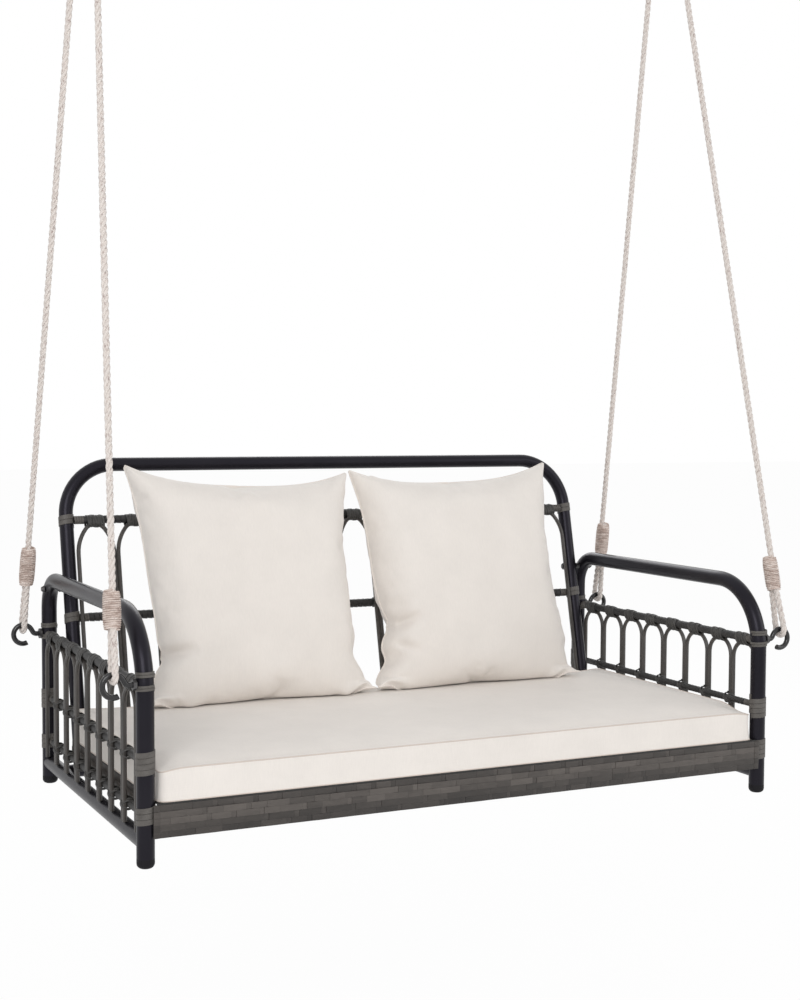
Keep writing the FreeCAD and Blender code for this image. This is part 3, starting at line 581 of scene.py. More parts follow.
# Control points of a rope's bight, aside from its run and up it: round the hook, and over the ring
HOOK_BIGHT = ((-0.0116, 0.012), (-0.0114, -0.0116), (0.0114, -0.0116), (0.0116, 0.012))
RING_BIGHT = ((RING_SIDE, -0.072), (0.0115, -0.012), (0.0115, 0.0093))


class RopeRoute:
    """One side's rope: up from its front hook, over the ring's wire and down to its rear hook."""

    def __init__(self, side, sign):
        self.eyes = EYES[side]
        self.ring = Vector((sign * RING_SPREAD, 0, 0))
        self.hooks = {way: bench(sign * HOOK_X, way * LEG_DEPTH, HOOK_HEIGHT) for _, way in ENDS}

    def axes(self, way):
        """Along the main run from hook to ring, and square to it away from the bench's middle."""
        along = (self.ring - self.hooks[way]).normalized()
        for _ in range(2):
            side = along.cross(ALONG_X).normalized()
            out = side if side.y * way > 0 else -side
            start = self.hooks[way] + out * EYE_HALF
            along = (self.ring + out * RING_SIDE - start).normalized()
        return along, out

    def half(self, way):
        """Control points of a half: tail, eye, hook, main run and ring."""
        along, out = self.axes(way)
        eye, seized = self.eyes[way]
        tail = ((-EYE_HALF, eye + seized), (-EYE_HALF, eye))
        run = ((EYE_HALF, eye), (EYE_HALF, eye + seized))
        low = tail + HOOK_BIGHT + run
        points = [self.hooks[way] + out * aside + along * up for aside, up in low]
        return points + [self.ring + out * aside + along * up for aside, up in RING_BIGHT]

    def points(self):
        return self.half(-1) + self.half(1)[::-1]


def curve_of(name, kind, points):
    """A curve object with one spline of a kind on these points."""
    curve = bpy.data.curves.new(name, "CURVE")
    curve.dimensions = "3D"
    line = curve.splines.new(kind)
    line.points.add(len(points) - 1)
    for spot, point in zip(line.points, points):
        spot.co = (*point, 1)
    obj = bpy.data.objects.new(name, curve)
    bpy.context.scene.collection.objects.link(obj)
    return obj


def drawn_line(name, points):
    """The points of a smooth open NURBS line as Blender draws it from its control points."""
    guide = curve_of(name, "NURBS", points)
    line = guide.data.splines[0]
    line.order_u = 3
    line.use_endpoint_u = True
    line.resolution_u = 96
    mesh = bpy.data.meshes.new_from_object(guide)
    drawn = [vertex.co.copy() for vertex in mesh.vertices]
    bpy.data.meshes.remove(mesh)
    drop(guide)
    return drawn


def evenly(points, step):
    """Points a fixed step apart along a line, for what is laid or wound on it."""
    spots = []
    walked = 0.0
    target = 0.0
    for start, end in zip(points, points[1:]):
        length = (end - start).length
        while length > 0 and target <= walked + length:
            spots.append(start.lerp(end, (target - walked) / length))
            target += step
        walked += length
    return spots, walked


def tube(name, points, radius, rounding=2):
    """A round tube along a close row of points."""
    obj = curve_of(name, "POLY", points)
    obj.data.bevel_depth = radius
    obj.data.bevel_resolution = rounding
    obj.data.use_fill_caps = True
    pick(obj)
    bpy.ops.object.convert(target="MESH")
    return mend(bpy.context.active_object)


STRAND = 0.0031
STRAND_OFFSET = 0.0030
LAY = 0.040
LAY_STEPS = 14


def laid_rope(name, route):
    """Three strands laid round the route's own spline."""
    spots, length = evenly(drawn_line(name + "_line", route.points()), LAY / LAY_STEPS)
    strands = []
    for number in range(3):
        points = []
        for index, spot in enumerate(spots):
            before = spots[max(0, index - 1)]
            after = spots[min(len(spots) - 1, index + 1)]
            tangent = (after - before).normalized()
            side = (ALONG_X - tangent * ALONG_X.dot(tangent)).normalized()
            other = tangent.cross(side)
            turn = TURN * (index / LAY_STEPS + number / 3)
            points.append(spot + (side * math.cos(turn) + other * math.sin(turn)) * STRAND_OFFSET)
        strands.append(tube("%s_strand_%d" % (name, number), points, STRAND))
    rope = smooth(join(name, strands), 60)
    return rope, spots, length


SEIZING_PITCH = 0.0036
SEIZING_TWINE = 0.00155
SEIZING_STEPS = 18
SEIZING_RADIUS = 0.0139
SEIZING_TAPER = 0.0026
SEIZING_CORE = 0.0126
SEIZING_INSET = 0.0015


def seizing(name, route, way):
    """Fine twine wound tightly round both legs of one eye, narrowing at its ends."""
    along, out = route.axes(way)
    eye, seized = route.eyes[way]
    base = route.hooks[way] + along * (eye + SEIZING_INSET)
    side = along.cross(out).normalized()
    height = seized - 2 * SEIZING_INSET
    count = round(height / SEIZING_PITCH) * SEIZING_STEPS
    points = []
    for index in range(count + 1):
        share = index / count
        radius = SEIZING_RADIUS - SEIZING_TAPER * abs(2 * share - 1) ** 4
        turn = TURN * index / SEIZING_STEPS
        around = out * math.cos(turn) + side * math.sin(turn)
        points.append(base + along * (height * share) + around * radius)
    wound = tube(name, points, SEIZING_TWINE, 1)
    bpy.ops.mesh.primitive_cylinder_add(vertices=24, radius=SEIZING_CORE, depth=height - 0.004)
    core = newest(name + "_core")
    edit("SELECT")
    bpy.ops.mesh.bevel(offset=0.004, segments=3, affect="EDGES")
    leave_edit()
    settle(core, axes_matrix(base + along * (height / 2), out, along))
    return smooth(join(name, [wound, core]), 60)


def hang_ropes():
    """Both ropes with their seizings."""
    for side, sign in SIDES:
        route = RopeRoute(side, sign)
        rope, path, length = laid_rope("laid_rope_" + side, route)
        dress(rope, ROPE_FIBRE, "bench")
        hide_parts("rope_" + side)
        bound = [seizing("seizing_%s_%s" % (end, side), route, way) for end, way in ENDS]
        for piece in bound:
            dress(piece, TWINE, "bench")
            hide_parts("rope_seizings")


hang_ropes()

# Strip bindings

STRIP = 0.0046
STRIP_THICK = 0.0013


def strip_coil(name, radius, turns, pitch, width=STRIP, thick=STRIP_THICK, steps=20, tilt=0.0):
    """Flat strip wound round the Z axis, its middle at the origin and its outer corners rounded."""
    bpy.ops.mesh.primitive_plane_add(size=1)
    coil = newest(name)
    coil.rotation_euler = (QUARTER, tilt, 0)
    coil.scale = (thick, width, 1)
    coil.location = (radius + thick / 2, 0, -turns * pitch / 2)
    settle(coil)
    edit_points(coil, lambda spot: spot.x > radius + thick / 2)
    bpy.ops.mesh.bevel(offset=thick * 0.45, segments=1, affect="VERTICES")
    bpy.ops.mesh.select_all(action="SELECT")
    bpy.ops.mesh.delete(type="ONLY_FACE")
    leave_edit()
    wind = coil.modifiers.new("wind", "SCREW")
    wind.axis = "Z"
    wind.angle = TURN * turns
    wind.screw_offset = pitch * turns
    wind.steps = int(turns * steps)
    wind.render_steps = wind.steps
    apply_all(coil)
    return mend(coil, 2e-6)


WINDING = 0.010


def oval_coil(name, wide, deep, *coil):
    """Strip wound round an oval of the given half widths."""
    squeeze = Matrix.Diagonal((wide / WINDING, deep / WINDING, 1, 1))
    return settle(strip_coil(name, WINDING, *coil), squeeze)


def crown_lashing(name, wide, deep):
    """Seven turns of strip round a crown and its rail, with two strips crossed over them."""
    turns = oval_coil(name + "_turns", wide, deep, 7, 0.0050)
    over = STRIP_THICK
    cross = oval_coil(name + "_cross", wide + over, deep + over, 1.5, 0.018, 0.0050, 0.0008, 24)
    counter = copy_to(cross, Matrix.Diagonal((1, -1, 1, 1)))
    return dress(join(name, [turns, cross, counter]), STRIP_DARK)


def crossing_knot(name, wide, deep):
    """Two doubled strips that cross each other round a pair of canes and the rail behind them."""
    ring = oval_coil(name + "_ring", wide, deep, 2, 0.0035, 0.0032, 0.0011, 18)
    lean = math.radians(43)
    falling = copy_to(ring, Matrix.Rotation(lean, 4, "Y"))
    wider = Matrix.Diagonal((1.05, 1.08, 1, 1))
    rising = copy_to(ring, Matrix.Rotation(-lean, 4, "Y") @ wider)
    drop(ring)
    return dress(join(name, [falling, rising]), STRIP_DARK)


def rail_wrap(name, radius, length, thick):
    """Strip wound closely along a rail, each turn's edge standing a little proud of the next."""
    turns = round(length / WRAP_PITCH)
    wrap = strip_coil(name, radius, turns, length / turns, WRAP_WIDTH, thick, 14, 0.07)
    return dress(wrap, RAIL_STRIP)


def rail_end(name, radius):
    """A short pale winding on the end of a rail, against its leg or post."""
    return dress(strip_coil(name, radius, 4, 0.0049, steps=18), STRIP_PALE)


ARM_ARCHES = 8
ARM_PITCH = 0.07825
ARM_START = -0.313
ARM_RAIL_X = 0.623625
ARM_CANE_X = 0.62825
ARM_UPPER = 0.299
ARM_RAIL_END = 0.3125
ARM_KNOT_X = 0.6224
ARM_LOWER_RAILS = (0.172, 0.086)
BACK_ARCHES = 14
BACK_PITCH = 0.08107
BACK_START = -0.5675
BACK_RAIL_END = 0.5674
BACK_CANE_AHEAD = 0.00565
BACK_KNOT_AHEAD = 0.0032
CROWN_DROP = 0.0097
LASHING_OFFSET = 0.0035
WRAP_PITCH = 0.0108
WRAP_WIDTH = 0.0104
RAIL_END_LENGTH = 0.0206
BACK_UP = on_back(0, 0, 1) - on_back(0, 0, 0)
BACK_FORWARD = on_back(0, 1, 0) - on_back(0, 0, 0)
BACK_RAILS = ((BACK_UPPER_AHEAD, BACK_UPPER), (0.0, BACK_LOWER))


def dress_joined(name, pieces):
    """Join bindings that keep their own materials, and let them ride on the bench."""
    bound = smooth(join(name, pieces), 35)
    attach(bound, "bench")


def bind_arms():
    """Wrapped rails, lashings at the crowns and knots at the lower rails of both arm panels."""
    lashing = crown_lashing("arm_lashing", 0.0117, 0.0084)
    knot = crossing_knot("arm_knot", 0.0110, 0.0103)
    wrapped = 2 * (ARM_RAIL_END - RAIL_END_LENGTH)
    upper = rail_wrap("arm_upper_wrap", 0.0065, wrapped, 0.0014), rail_end("arm_upper_end", 0.0066)
    lower = rail_wrap("arm_lower_wrap", 0.0050, wrapped, 0.0015), rail_end("arm_lower_end", 0.0051)
    end_y = ARM_RAIL_END - RAIL_END_LENGTH / 2
    for side, sign in SIDES:
        wound = []
        rails = [(sign * ARM_RAIL_X, ARM_UPPER, upper)]
        rails += [(sign * LEG_SPREAD, height, lower) for height in ARM_LOWER_RAILS]
        for x, height, (wrap, end) in rails:
            for piece, y in ((wrap, 0.0), (end, -end_y), (end, end_y)):
                wound.append(placed(piece, bench(x, y, height), UP, ALONG_Y))
        dress_joined("arm_rail_wraps_" + side, wound)
        reach = Vector((sign * (ARM_CANE_X - ARM_RAIL_X), 0, -CROWN_DROP))
        bound = []
        for number in range(ARM_ARCHES):
            crown = bench(sign * ARM_RAIL_X, ARM_START + ARM_PITCH * (number + 0.5), ARM_UPPER)
            centre = crown + reach.normalized() * LASHING_OFFSET
            bound.append(placed(lashing, centre, reach, ALONG_Y))
        dress_joined("arm_lashings_" + side, bound)
        bound = []
        for height in ARM_LOWER_RAILS:
            for number in range(1, ARM_ARCHES):
                centre = bench(sign * ARM_KNOT_X, ARM_START + ARM_PITCH * number, height)
                bound.append(placed(knot, centre, ALONG_Y, UP))
        dress_joined("arm_knots_" + side, bound)
    for piece in (lashing, knot, *upper, *lower):
        drop(piece)


def bind_back():
    """Wrapped rails, lashings at the back's crowns and knots at its lower rail."""
    lashing = crown_lashing("back_lashing", 0.0121, 0.0088)
    knot = crossing_knot("back_knot", 0.0112, 0.0124)
    wrapped = 2 * (BACK_RAIL_END - RAIL_END_LENGTH)
    wraps = [
        rail_wrap("back_upper_wrap", 0.0070, wrapped, 0.0013),
        rail_wrap("back_lower_wrap", 0.0070, wrapped, 0.0018),
    ]
    wound = [
        placed(wrap, on_back(0, ahead, length), BACK_UP, ALONG_X)
        for wrap, (ahead, length) in zip(wraps, BACK_RAILS)
    ]
    dress_joined("back_rail_wraps", wound)
    reach = BACK_FORWARD * BACK_CANE_AHEAD - BACK_UP * CROWN_DROP
    bound = []
    for number in range(BACK_ARCHES):
        crown = on_back(BACK_START + BACK_PITCH * (number + 0.5), BACK_UPPER_AHEAD, BACK_UPPER)
        centre = crown + reach.normalized() * LASHING_OFFSET
        bound.append(placed(lashing, centre, reach, ALONG_X))
    dress_joined("back_lashings", bound)
    bound = []
    for number in range(1, BACK_ARCHES):
        centre = on_back(BACK_START + BACK_PITCH * number, BACK_KNOT_AHEAD, BACK_LOWER)
        bound.append(placed(knot, centre, ALONG_X, BACK_UP))
    dress_joined("back_knots", bound)
    for piece in (lashing, knot, *wraps):
        drop(piece)


# Pitch and width of the strip in the broad bands of legs and posts, and in the narrow ones
BROAD = (0.0095, 0.0092)
NARROW = (0.0046, 0.0044)


def band_legs():
    """Pale bands wound round the four legs at each rail."""
    bands = [
        (height, dress(strip_coil(name, LEG_RADIUS, turns, *strip, steps=28), STRIP_PALE))
        for name, height, turns, strip in (
            ("leg_band_wide", 0.171, 4, BROAD),
            ("leg_band_low", 0.087, 3.4, BROAD),
            ("leg_band_thin", 0.2945, 1.9, NARROW),
            ("leg_band_top", 0.3165, 1.9, NARROW),
        )
    ]
    for side, sign in SIDES:
        turn = Matrix.Rotation(QUARTER * (1 + sign), 4, "Z")
        wound = []
        for _, way in ENDS:
            for height, band in bands:
                foot = bench(sign * LEG_SPREAD, way * LEG_DEPTH, height)
                wound.append(copy_to(band, Matrix.Translation(foot) @ turn))
        dress_joined("leg_bands_" + side, wound)
    for _, band in bands:
        drop(band)


def band_posts():
    """Pale bands round the posts and round the ends of the back's rails that meet them."""
    collar = dress(strip_coil("post_band", POST_RADIUS, 2.2, *BROAD, steps=28), STRIP_PALE)
    sleeve = rail_end("back_rail_end", 0.0071)
    end_x = BACK_RAIL_END - RAIL_END_LENGTH / 2
    wound = []
    for _, sign in SIDES:
        for ahead, length in BACK_RAILS:
            wound.append(placed(collar, on_back(sign * POST_SPREAD, 0, length), ALONG_X, BACK_UP))
            wound.append(placed(sleeve, on_back(sign * end_x, ahead, length), BACK_UP, ALONG_X))
    dress_joined("post_bands", wound)
    drop(collar)
    drop(sleeve)


bind_arms()
bind_back()
band_legs()
band_posts()

# Woven bands of the seat

BAND_FACE = 0.3436
BAND_HALF = 0.6105
SIDE_FACE = 0.6011
# The strips stop below the top of the backing, whose near-black colour shows there as painted shade,
# the shadow line under the cushion.
BAND_TOP = 0.1045
BAND_ROW = 0.0109
BAND_END = 0.011
# How far each row of strip stands out of the band, and its shade, from the top row down; the darker
# top and bottom rows are painted shade, under the cushion and where the band rounds away from the
# light
BAND_RELIEF_AND_PAINTED_SHADE = ((0.0016, 0.40), (0.0024, 0.80), (0.0024, 0.75), (0.0018, 0.32), (0.0012, 0.16))
SHADE_SPREAD = 0.45
STRIP_DEPTH = 0.0026
STRIP_GAP = 0.0002
STRIP_SINK = 0.0006
STRIP_LENGTHS = (0.028, 0.034, 0.040, 0.046)
LEAST_LENGTH = 0.012
LEAST_REST = 0.014
STAKE = 0.0090
STAKE_SINK = 0.0008
STAKE_SHARE = 0.4


def strip_length():
    """One visible length of strip, a unit long: humped in its middle, tucked in at its ends."""
    bpy.ops.mesh.primitive_cube_add(size=1)
    strip = newest("strip_length")
    edit_edges(strip, lambda first, second: abs(first.x - second.x) > 0.5)
    bpy.ops.mesh.subdivide(number_cuts=5)
    pick_by("VERT")
    for reach, back in ((0.49, 0.15), (0.32, 0.05)):
        edit_points(strip, lambda spot: spot.y < 0 and abs(spot.x) > reach)
        bpy.ops.transform.translate(value=(0, back, 0))

    def along_front(first, second):
        level = abs(first.z - second.z) < 0.01 and abs(first.x - second.x) > 0.05
        return level and max(first.y, second.y) < 0.4

    edit_edges(strip, along_front)
    bpy.ops.mesh.bevel(offset=0.07, segments=1, affect="EDGES")
    pick_by("VERT")
    leave_edit()
    return mend(strip)


def shade(piece, value):
    """Give one length of strip its own shade: its row's painted shade with a random tone of its own.
    """
    layer = piece.data.attributes.new("strip_shade", "FLOAT", "POINT")
    for item in layer.data:
        item.value = value
    return piece


def weave_band(name, model, draw, place, left, right, rows):
    """Rows of strip lengths in running bond, with a stake showing between some of them."""
    strips = []

    def lay(start, end, row, sunk=0.0):
        # The row's tone is painted shade: darker in the top and bottom rows, which face away from the
        # light; each strip adds a random tone of its own.
        proud, tone = BAND_RELIEF_AND_PAINTED_SHADE[row]
        size = (end - start - STRIP_GAP, STRIP_DEPTH, BAND_ROW - STRIP_GAP, 1)
        depth = STRIP_DEPTH / 2 - proud + sunk
        spot = Vector(((start + end) / 2, depth, BAND_TOP - BAND_ROW * (row + 0.5)))
        strip = copy_to(model, place @ Matrix.Translation(spot) @ Matrix.Diagonal(size))
        strips.append(shade(strip, tone + SHADE_SPREAD * (draw.random() - 0.5)))

    for row in range(rows):
        lay(left, left + BAND_END, row)
        lay(right - BAND_END, right, row)
        edge = left + BAND_END
        last = right - BAND_END
        reach = 0.014 + 0.026 * (row % 2) + 0.008 * draw.random()
        while edge < last - LEAST_LENGTH:
            end = min(edge + reach, last)
            lay(edge, end, row, STRIP_SINK * draw.random())
            edge = end
            if draw.random() < STAKE_SHARE and edge < last - STAKE - LEAST_LENGTH:
                lay(edge, edge + STAKE, row, STAKE_SINK)
                edge += STAKE
            reach = draw.choice(STRIP_LENGTHS)
            if last - edge - reach < LEAST_REST:
                reach = last - edge
    dress(smooth(join(name, strips), 30), BAND, "bench")


def weave_bands():
    """The deep band across the front and the narrower ones along the sides."""
    draw = random.Random(11)
    model = strip_length()
    front, rear = (corner[1] + AXIS_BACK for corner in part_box("side_apron_left"))
    for name, turn, face, left, right, rows in (
        ("front_band_strips", 0.0, BAND_FACE, -BAND_HALF, BAND_HALF, 5),
        ("side_band_strips_right", QUARTER, SIDE_FACE, front, rear, 3),
        ("side_band_strips_left", -QUARTER, SIDE_FACE, -rear, -front, 3),
    ):
        place = Matrix.Translation(bench(0, 0, 0)) @ Matrix.Rotation(turn, 4, "Z")
        place = place @ Matrix.Translation((0, -face, 0))
        weave_band(name, model, draw, place, left, right, rows)
    drop(model)


weave_bands()

# Cushions

PILLOW_WIDE = 0.484
PILLOW_TALL = 0.500
PILLOW_DEEP = 0.164
PILLOW_CORNER = 0.022
PILLOW_LEAN = math.radians(15)
PILLOW_SLACK = 1.05
# Pressure, frames and stiffness of the simulations
PILLOW_SWELL = (4.0, 24, 12)
CUSHION_SWELL = (4.0, 20, 15)
SHEET_GAP = 0.002
PIPING = 0.0017
SEAT_PIPING = 0.0012
EDGE_CURVE = 2.7
SIDE_HOLLOW = 0.034
TOP_HOLLOW = 0.040
FOOT_HOLLOW = 0.022
FOOT_FULL = 0.3
FOOT_SINK = 0.014
FOOT_START = -0.201
FOOT_BEND = 0.011
EAR_START = 0.150
EAR_WIDTH = 0.070
REAR_FLAT = 0.4


def inflate(piece, pressure, frames, stiffness, pins=None):
    """Swell a closed blank by cloth simulation and leave the result in its mesh."""
    pick(piece)
    cloth = piece.modifiers.new("swell", "CLOTH")
    settings = cloth.settings
    settings.quality = 5
    settings.mass = 0.2
    settings.tension_stiffness = stiffness
    settings.compression_stiffness = stiffness
    settings.shear_stiffness = stiffness * 0.4
    settings.bending_stiffness = 0.15
    settings.air_damping = 4
    settings.use_pressure = True
    settings.uniform_pressure_force = pressure
    settings.effector_weights.gravity = 0
    if pins is not None:
        settings.vertex_group_mass = pins
    cloth.point_cache.frame_start = 1
    cloth.point_cache.frame_end = frames
    scene = bpy.context.scene
    for number in range(1, frames + 1):
        scene.frame_set(number)
    bpy.ops.object.modifier_apply(modifier=cloth.name)
    scene.frame_set(1)


def seam_tube(name, piece, radius):
    """A thin round welt along the edges of a piece that are selected."""
    pick(piece)
    edit()
    pick_by("EDGE")
    bpy.ops.mesh.duplicate()
    bpy.ops.mesh.separate(type="SELECTED")
    pick_by("VERT")
    leave_edit()
    welt = next(obj for obj in bpy.context.selected_objects if obj != piece)
    pick(welt)
    bpy.ops.object.convert(target="CURVE")
    welt = newest(name)
    welt.data.bevel_depth = radius
    welt.data.bevel_resolution = 2
    bpy.ops.object.convert(target="MESH")
    return smooth(mend(newest(name)), 60)


def round_corners(blank, across, up, corner):
    """Round the four corners of a flat blank that is centred on the origin."""
    axes = (across, up)
    half = [max(vertex.co[axis] for vertex in blank.data.vertices) for axis in axes]
    for vertex in blank.data.vertices:
        over = [abs(vertex.co[axis]) - reach + corner for axis, reach in zip(axes, half)]
        if min(over) > 0:
            pull = max(over) / math.hypot(*over)
            for axis, reach, beyond in zip(axes, half, over):
                vertex.co[axis] = math.copysign(reach - corner + beyond * pull, vertex.co[axis])


def mark_seam(blank):
    """Remember which points of a flat blank lie on its edge."""
    layer = blank.data.attributes.new("seam", "FLOAT", "POINT")
    meeting = [0] * len(blank.data.vertices)
    for edge in blank.data.edges:
        for index in edge.vertices:
            meeting[index] += 1
    for item, count in zip(layer.data, meeting):
        item.value = float(count < 4)


def on_seam(piece):
    """For each point of a piece, whether it lies on the marked seam."""
    return [item.value > 0.9 for item in piece.data.attributes["seam"].data]


def pillow_blank(name):
    """Two sheets of cloth with rounded corners, joined along their edges, upright and flat."""
    bpy.ops.mesh.primitive_grid_add(x_subdivisions=76, y_subdivisions=76, size=1)
    blank = newest(name)
    blank.scale = (PILLOW_WIDE * PILLOW_SLACK, PILLOW_TALL * PILLOW_SLACK, 1)
    blank.rotation_euler = (QUARTER, 0, 0)
    settle(blank)
    round_corners(blank, 0, 2, PILLOW_CORNER)
    mark_seam(blank)
    edit("SELECT")
    bpy.ops.mesh.extrude_region_move(TRANSFORM_OT_translate={"value": (0, SHEET_GAP, 0)})
    bpy.ops.mesh.select_all(action="DESELECT")
    leave_edit()
    for vertex, joined in zip(blank.data.vertices, on_seam(blank)):
        vertex.select = joined
    edit()
    bpy.ops.mesh.remove_doubles(threshold=1.25 * SHEET_GAP)
    bpy.ops.mesh.select_all(action="SELECT")
    bpy.ops.mesh.normals_make_consistent(inside=False)
    leave_edit()
    return blank


def fit_sizes(piece, wide, deep, tall):
    """Scale a piece to its finished size about its own middle, which goes to the origin."""
    corners = [Vector(corner) for corner in piece.bound_box]
    low = Vector([min(corner[axis] for corner in corners) for axis in range(3)])
    high = Vector([max(corner[axis] for corner in corners) for axis in range(3)])
    grown = high - low
    scale = Matrix.Diagonal((wide / grown.x, deep / grown.y, tall / grown.z, 1))
    piece.data.transform(scale @ Matrix.Translation((low + high) / -2))


def seam_edges(piece):
    """Select the edges along a piece's marked seam."""
    border = on_seam(piece)
    for polygon in piece.data.polygons:
        polygon.select = False
    for vertex in piece.data.vertices:
        vertex.select = False
    for edge in piece.data.edges:
        edge.select = all(border[index] for index in edge.vertices)


def edge_line(piece, axis, along, way, reach):
    """One side of a pillow's seam, as places along it and distances out."""
    line = []
    for vertex, marked in zip(piece.data.vertices, on_seam(piece)):
        out = way * vertex.co[axis]
        if marked and out / reach[axis] > abs(vertex.co[along]) / reach[along]:
            line.append((vertex.co[along], out))
    return sorted(line)


def line_height(line, place):
    """How far out an edge line lies at a place along it."""
    after = min(max(bisect(line, (place,)), 1), len(line) - 1)
    before, low = line[after - 1]
    beyond, high = line[after]
    share = (place - before) / max(beyond - before, 1e-6)
    return low + (high - low) * min(max(share, 0.0), 1.0)


def hollow_edges(piece):
    """Draw a pillow's edges in between its corners, in smooth curves."""
    points = piece.data.vertices
    reach = [max(vertex.co[axis] for vertex in points) for axis in range(3)]
    for axis, along, way, depth in (
        (0, 2, -1, SIDE_HOLLOW),
        (0, 2, 1, SIDE_HOLLOW),
        (2, 0, 1, TOP_HOLLOW),
        (2, 0, -1, FOOT_HOLLOW),
    ):
        line = edge_line(piece, axis, along, way, reach)
        for vertex in points:
            out = way * vertex.co[axis] / reach[axis]
            if out > 0:
                aside = min(abs(vertex.co[along]) / reach[along], 1.0)
                goal = reach[axis] - depth * (1 - aside ** EDGE_CURVE)
                vertex.co[axis] += way * (goal - line_height(line, vertex.co[along])) * out ** 1.5


def flatten_rear(piece):
    """Let a pillow's rear rise slowly from its seam to where it meets the back."""
    depth = max(vertex.co.y for vertex in piece.data.vertices)
    for vertex in piece.data.vertices:
        if vertex.co.y > 0:
            vertex.co.y *= REAR_FLAT + (1 - REAR_FLAT) * vertex.co.y / depth


def fill_foot(piece):
    """Let the filling sink, so that a pillow's front is full down to the seam along its foot."""
    points = piece.data.vertices
    reach_x, depth, reach_z = (max(abs(point.co[axis]) for point in points) for axis in range(3))
    for vertex in points:
        share = -vertex.co.y / depth
        if share > 0:
            low = min(max(-vertex.co.z / reach_z - 0.1, 0.0) / 0.6, 1.0)
            inner = 1 - min(abs(vertex.co.x) / reach_x, 1.0) ** 6
            vertex.co.y = -depth * share ** (1 - FOOT_FULL * low * inner)


def tip_over(piece, slope):
    """Let a pillow's top edge slope, as loose filling does."""
    reach_z = max(vertex.co.z for vertex in piece.data.vertices)
    for vertex in piece.data.vertices:
        vertex.co.z -= slope * vertex.co.x * max(0.0, vertex.co.z / reach_z)


def pull_edge(piece, side, height, depth, reach):
    """Draw one side edge of a pillow in at a height, where a fold ends."""
    reach_x = max(vertex.co.x for vertex in piece.data.vertices)
    for vertex in piece.data.vertices:
        share = max(0.0, side * vertex.co.x / reach_x) ** 3
        vertex.co.x -= side * depth * share * math.exp(-(((vertex.co.z - height) / reach) ** 2))


def press_fold(piece, start, end, depth, wide):
    """Press a soft fold into a pillow's front along a line, deepest at its start on the seam."""
    start = Vector(start)
    run = Vector(end) - start
    length = run.length
    for vertex in piece.data.vertices:
        if vertex.co.y > 0.004:
            continue
        from_start = Vector((vertex.co.x, vertex.co.z)) - start
        share = from_start.dot(run) / length ** 2
        if -0.5 < share < 1:
            aside = abs(from_start.x * run.y - from_start.y * run.x) / length
            fade = min(1 - share, 1 + 2 * share) * math.exp(-((aside / wide) ** 2))
            vertex.co.y += depth * fade


def bend_ears(piece):
    """Bend a pillow's two lower corners forward, so that they will lie on the seat."""
    for vertex in piece.data.vertices:
        below = FOOT_START - vertex.co.z
        limit = (QUARTER - PILLOW_LEAN) * eased((abs(vertex.co.x) - EAR_START) / EAR_WIDTH)
        if below > 0 and limit > 0:
            turn = min(below / FOOT_BEND, limit)
            past = max(0.0, below - FOOT_BEND * limit)
            bend = FOOT_BEND + 0.8 * FOOT_BEND * math.tanh(vertex.co.y / FOOT_BEND)
            vertex.co.y -= bend * (1 - math.cos(turn)) + past * math.sin(limit)
            vertex.co.z = FOOT_START - bend * math.sin(turn) - past * math.cos(limit)


def lean_on_back(piece, node):
    """Set a pillow on the seat in the plane of its CAD solid, flat where it rests."""
    low, high = (Vector(corner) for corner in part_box(node))
    middle = (low + high) / 2
    piece.data.transform(Matrix.Rotation(-PILLOW_LEAN, 4, "X"))
    marked = zip(piece.data.vertices, on_seam(piece))
    foot = min(vertex.co.z for vertex, seamed in marked if seamed)
    seat = low.z + PIPING
    rise = seat - foot - FOOT_SINK - middle.z
    spot = Vector((middle.x, middle.y + rise * math.tan(PILLOW_LEAN), middle.z + rise))
    piece.data.transform(Matrix.Translation(spot))
    for vertex in piece.data.vertices:
        vertex.co.z = max(vertex.co.z, seat)


def back_pillow(side, slope, pulls, folds):
    """One loose back pillow: simulated, fitted, leant on the back and piped along its seam."""
    node = body = "pillow_" + side
    pillow = pillow_blank("back_pillow_" + side)
    pick(pillow)
    edit("SELECT")
    bpy.ops.transform.vertex_random(offset=0.0005, seed=len(side))
    leave_edit()
    inflate(pillow, *PILLOW_SWELL)
    relax = pillow.modifiers.new("relax", "SMOOTH")
    relax.factor = 0.5
    relax.iterations = 3
    apply_all(pillow)
    fit_sizes(pillow, PILLOW_WIDE, PILLOW_DEEP, PILLOW_TALL)
    hollow_edges(pillow)
    flatten_rear(pillow)
    fill_foot(pillow)
    tip_over(pillow, slope)
    for pull in pulls:
        pull_edge(pillow, *pull)
    for fold in folds:
        press_fold(pillow, *fold)
    bend_ears(pillow)
    lean_on_back(pillow, node)
    seam_edges(pillow)
    welt = seam_tube("pillow_piping_" + side, pillow, PIPING)
    refine(pillow)
    smooth(pillow, 70)
    dress(pillow, CLOTH, body)
    dress(welt, SEAM_CLOTH, body)
    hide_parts(node)


CUSHION_EDGE = 0.054
CUSHION_CORNER = 0.014
CUSHION_GROWTH = 0.003
CUSHION_SLOPE = 0.09
CUSHION_WALL_ROWS = 4
# How the pad's ends fill the room between the arms: out, up behind the front legs, down at its corners
SIDE_FILL = 0.002
SIDE_RISE = 0.006
PAST_LEGS = -0.246
PAST_LEGS_REACH = 0.07
CORNER_DIP = 0.007
CORNER_REACH = 0.05


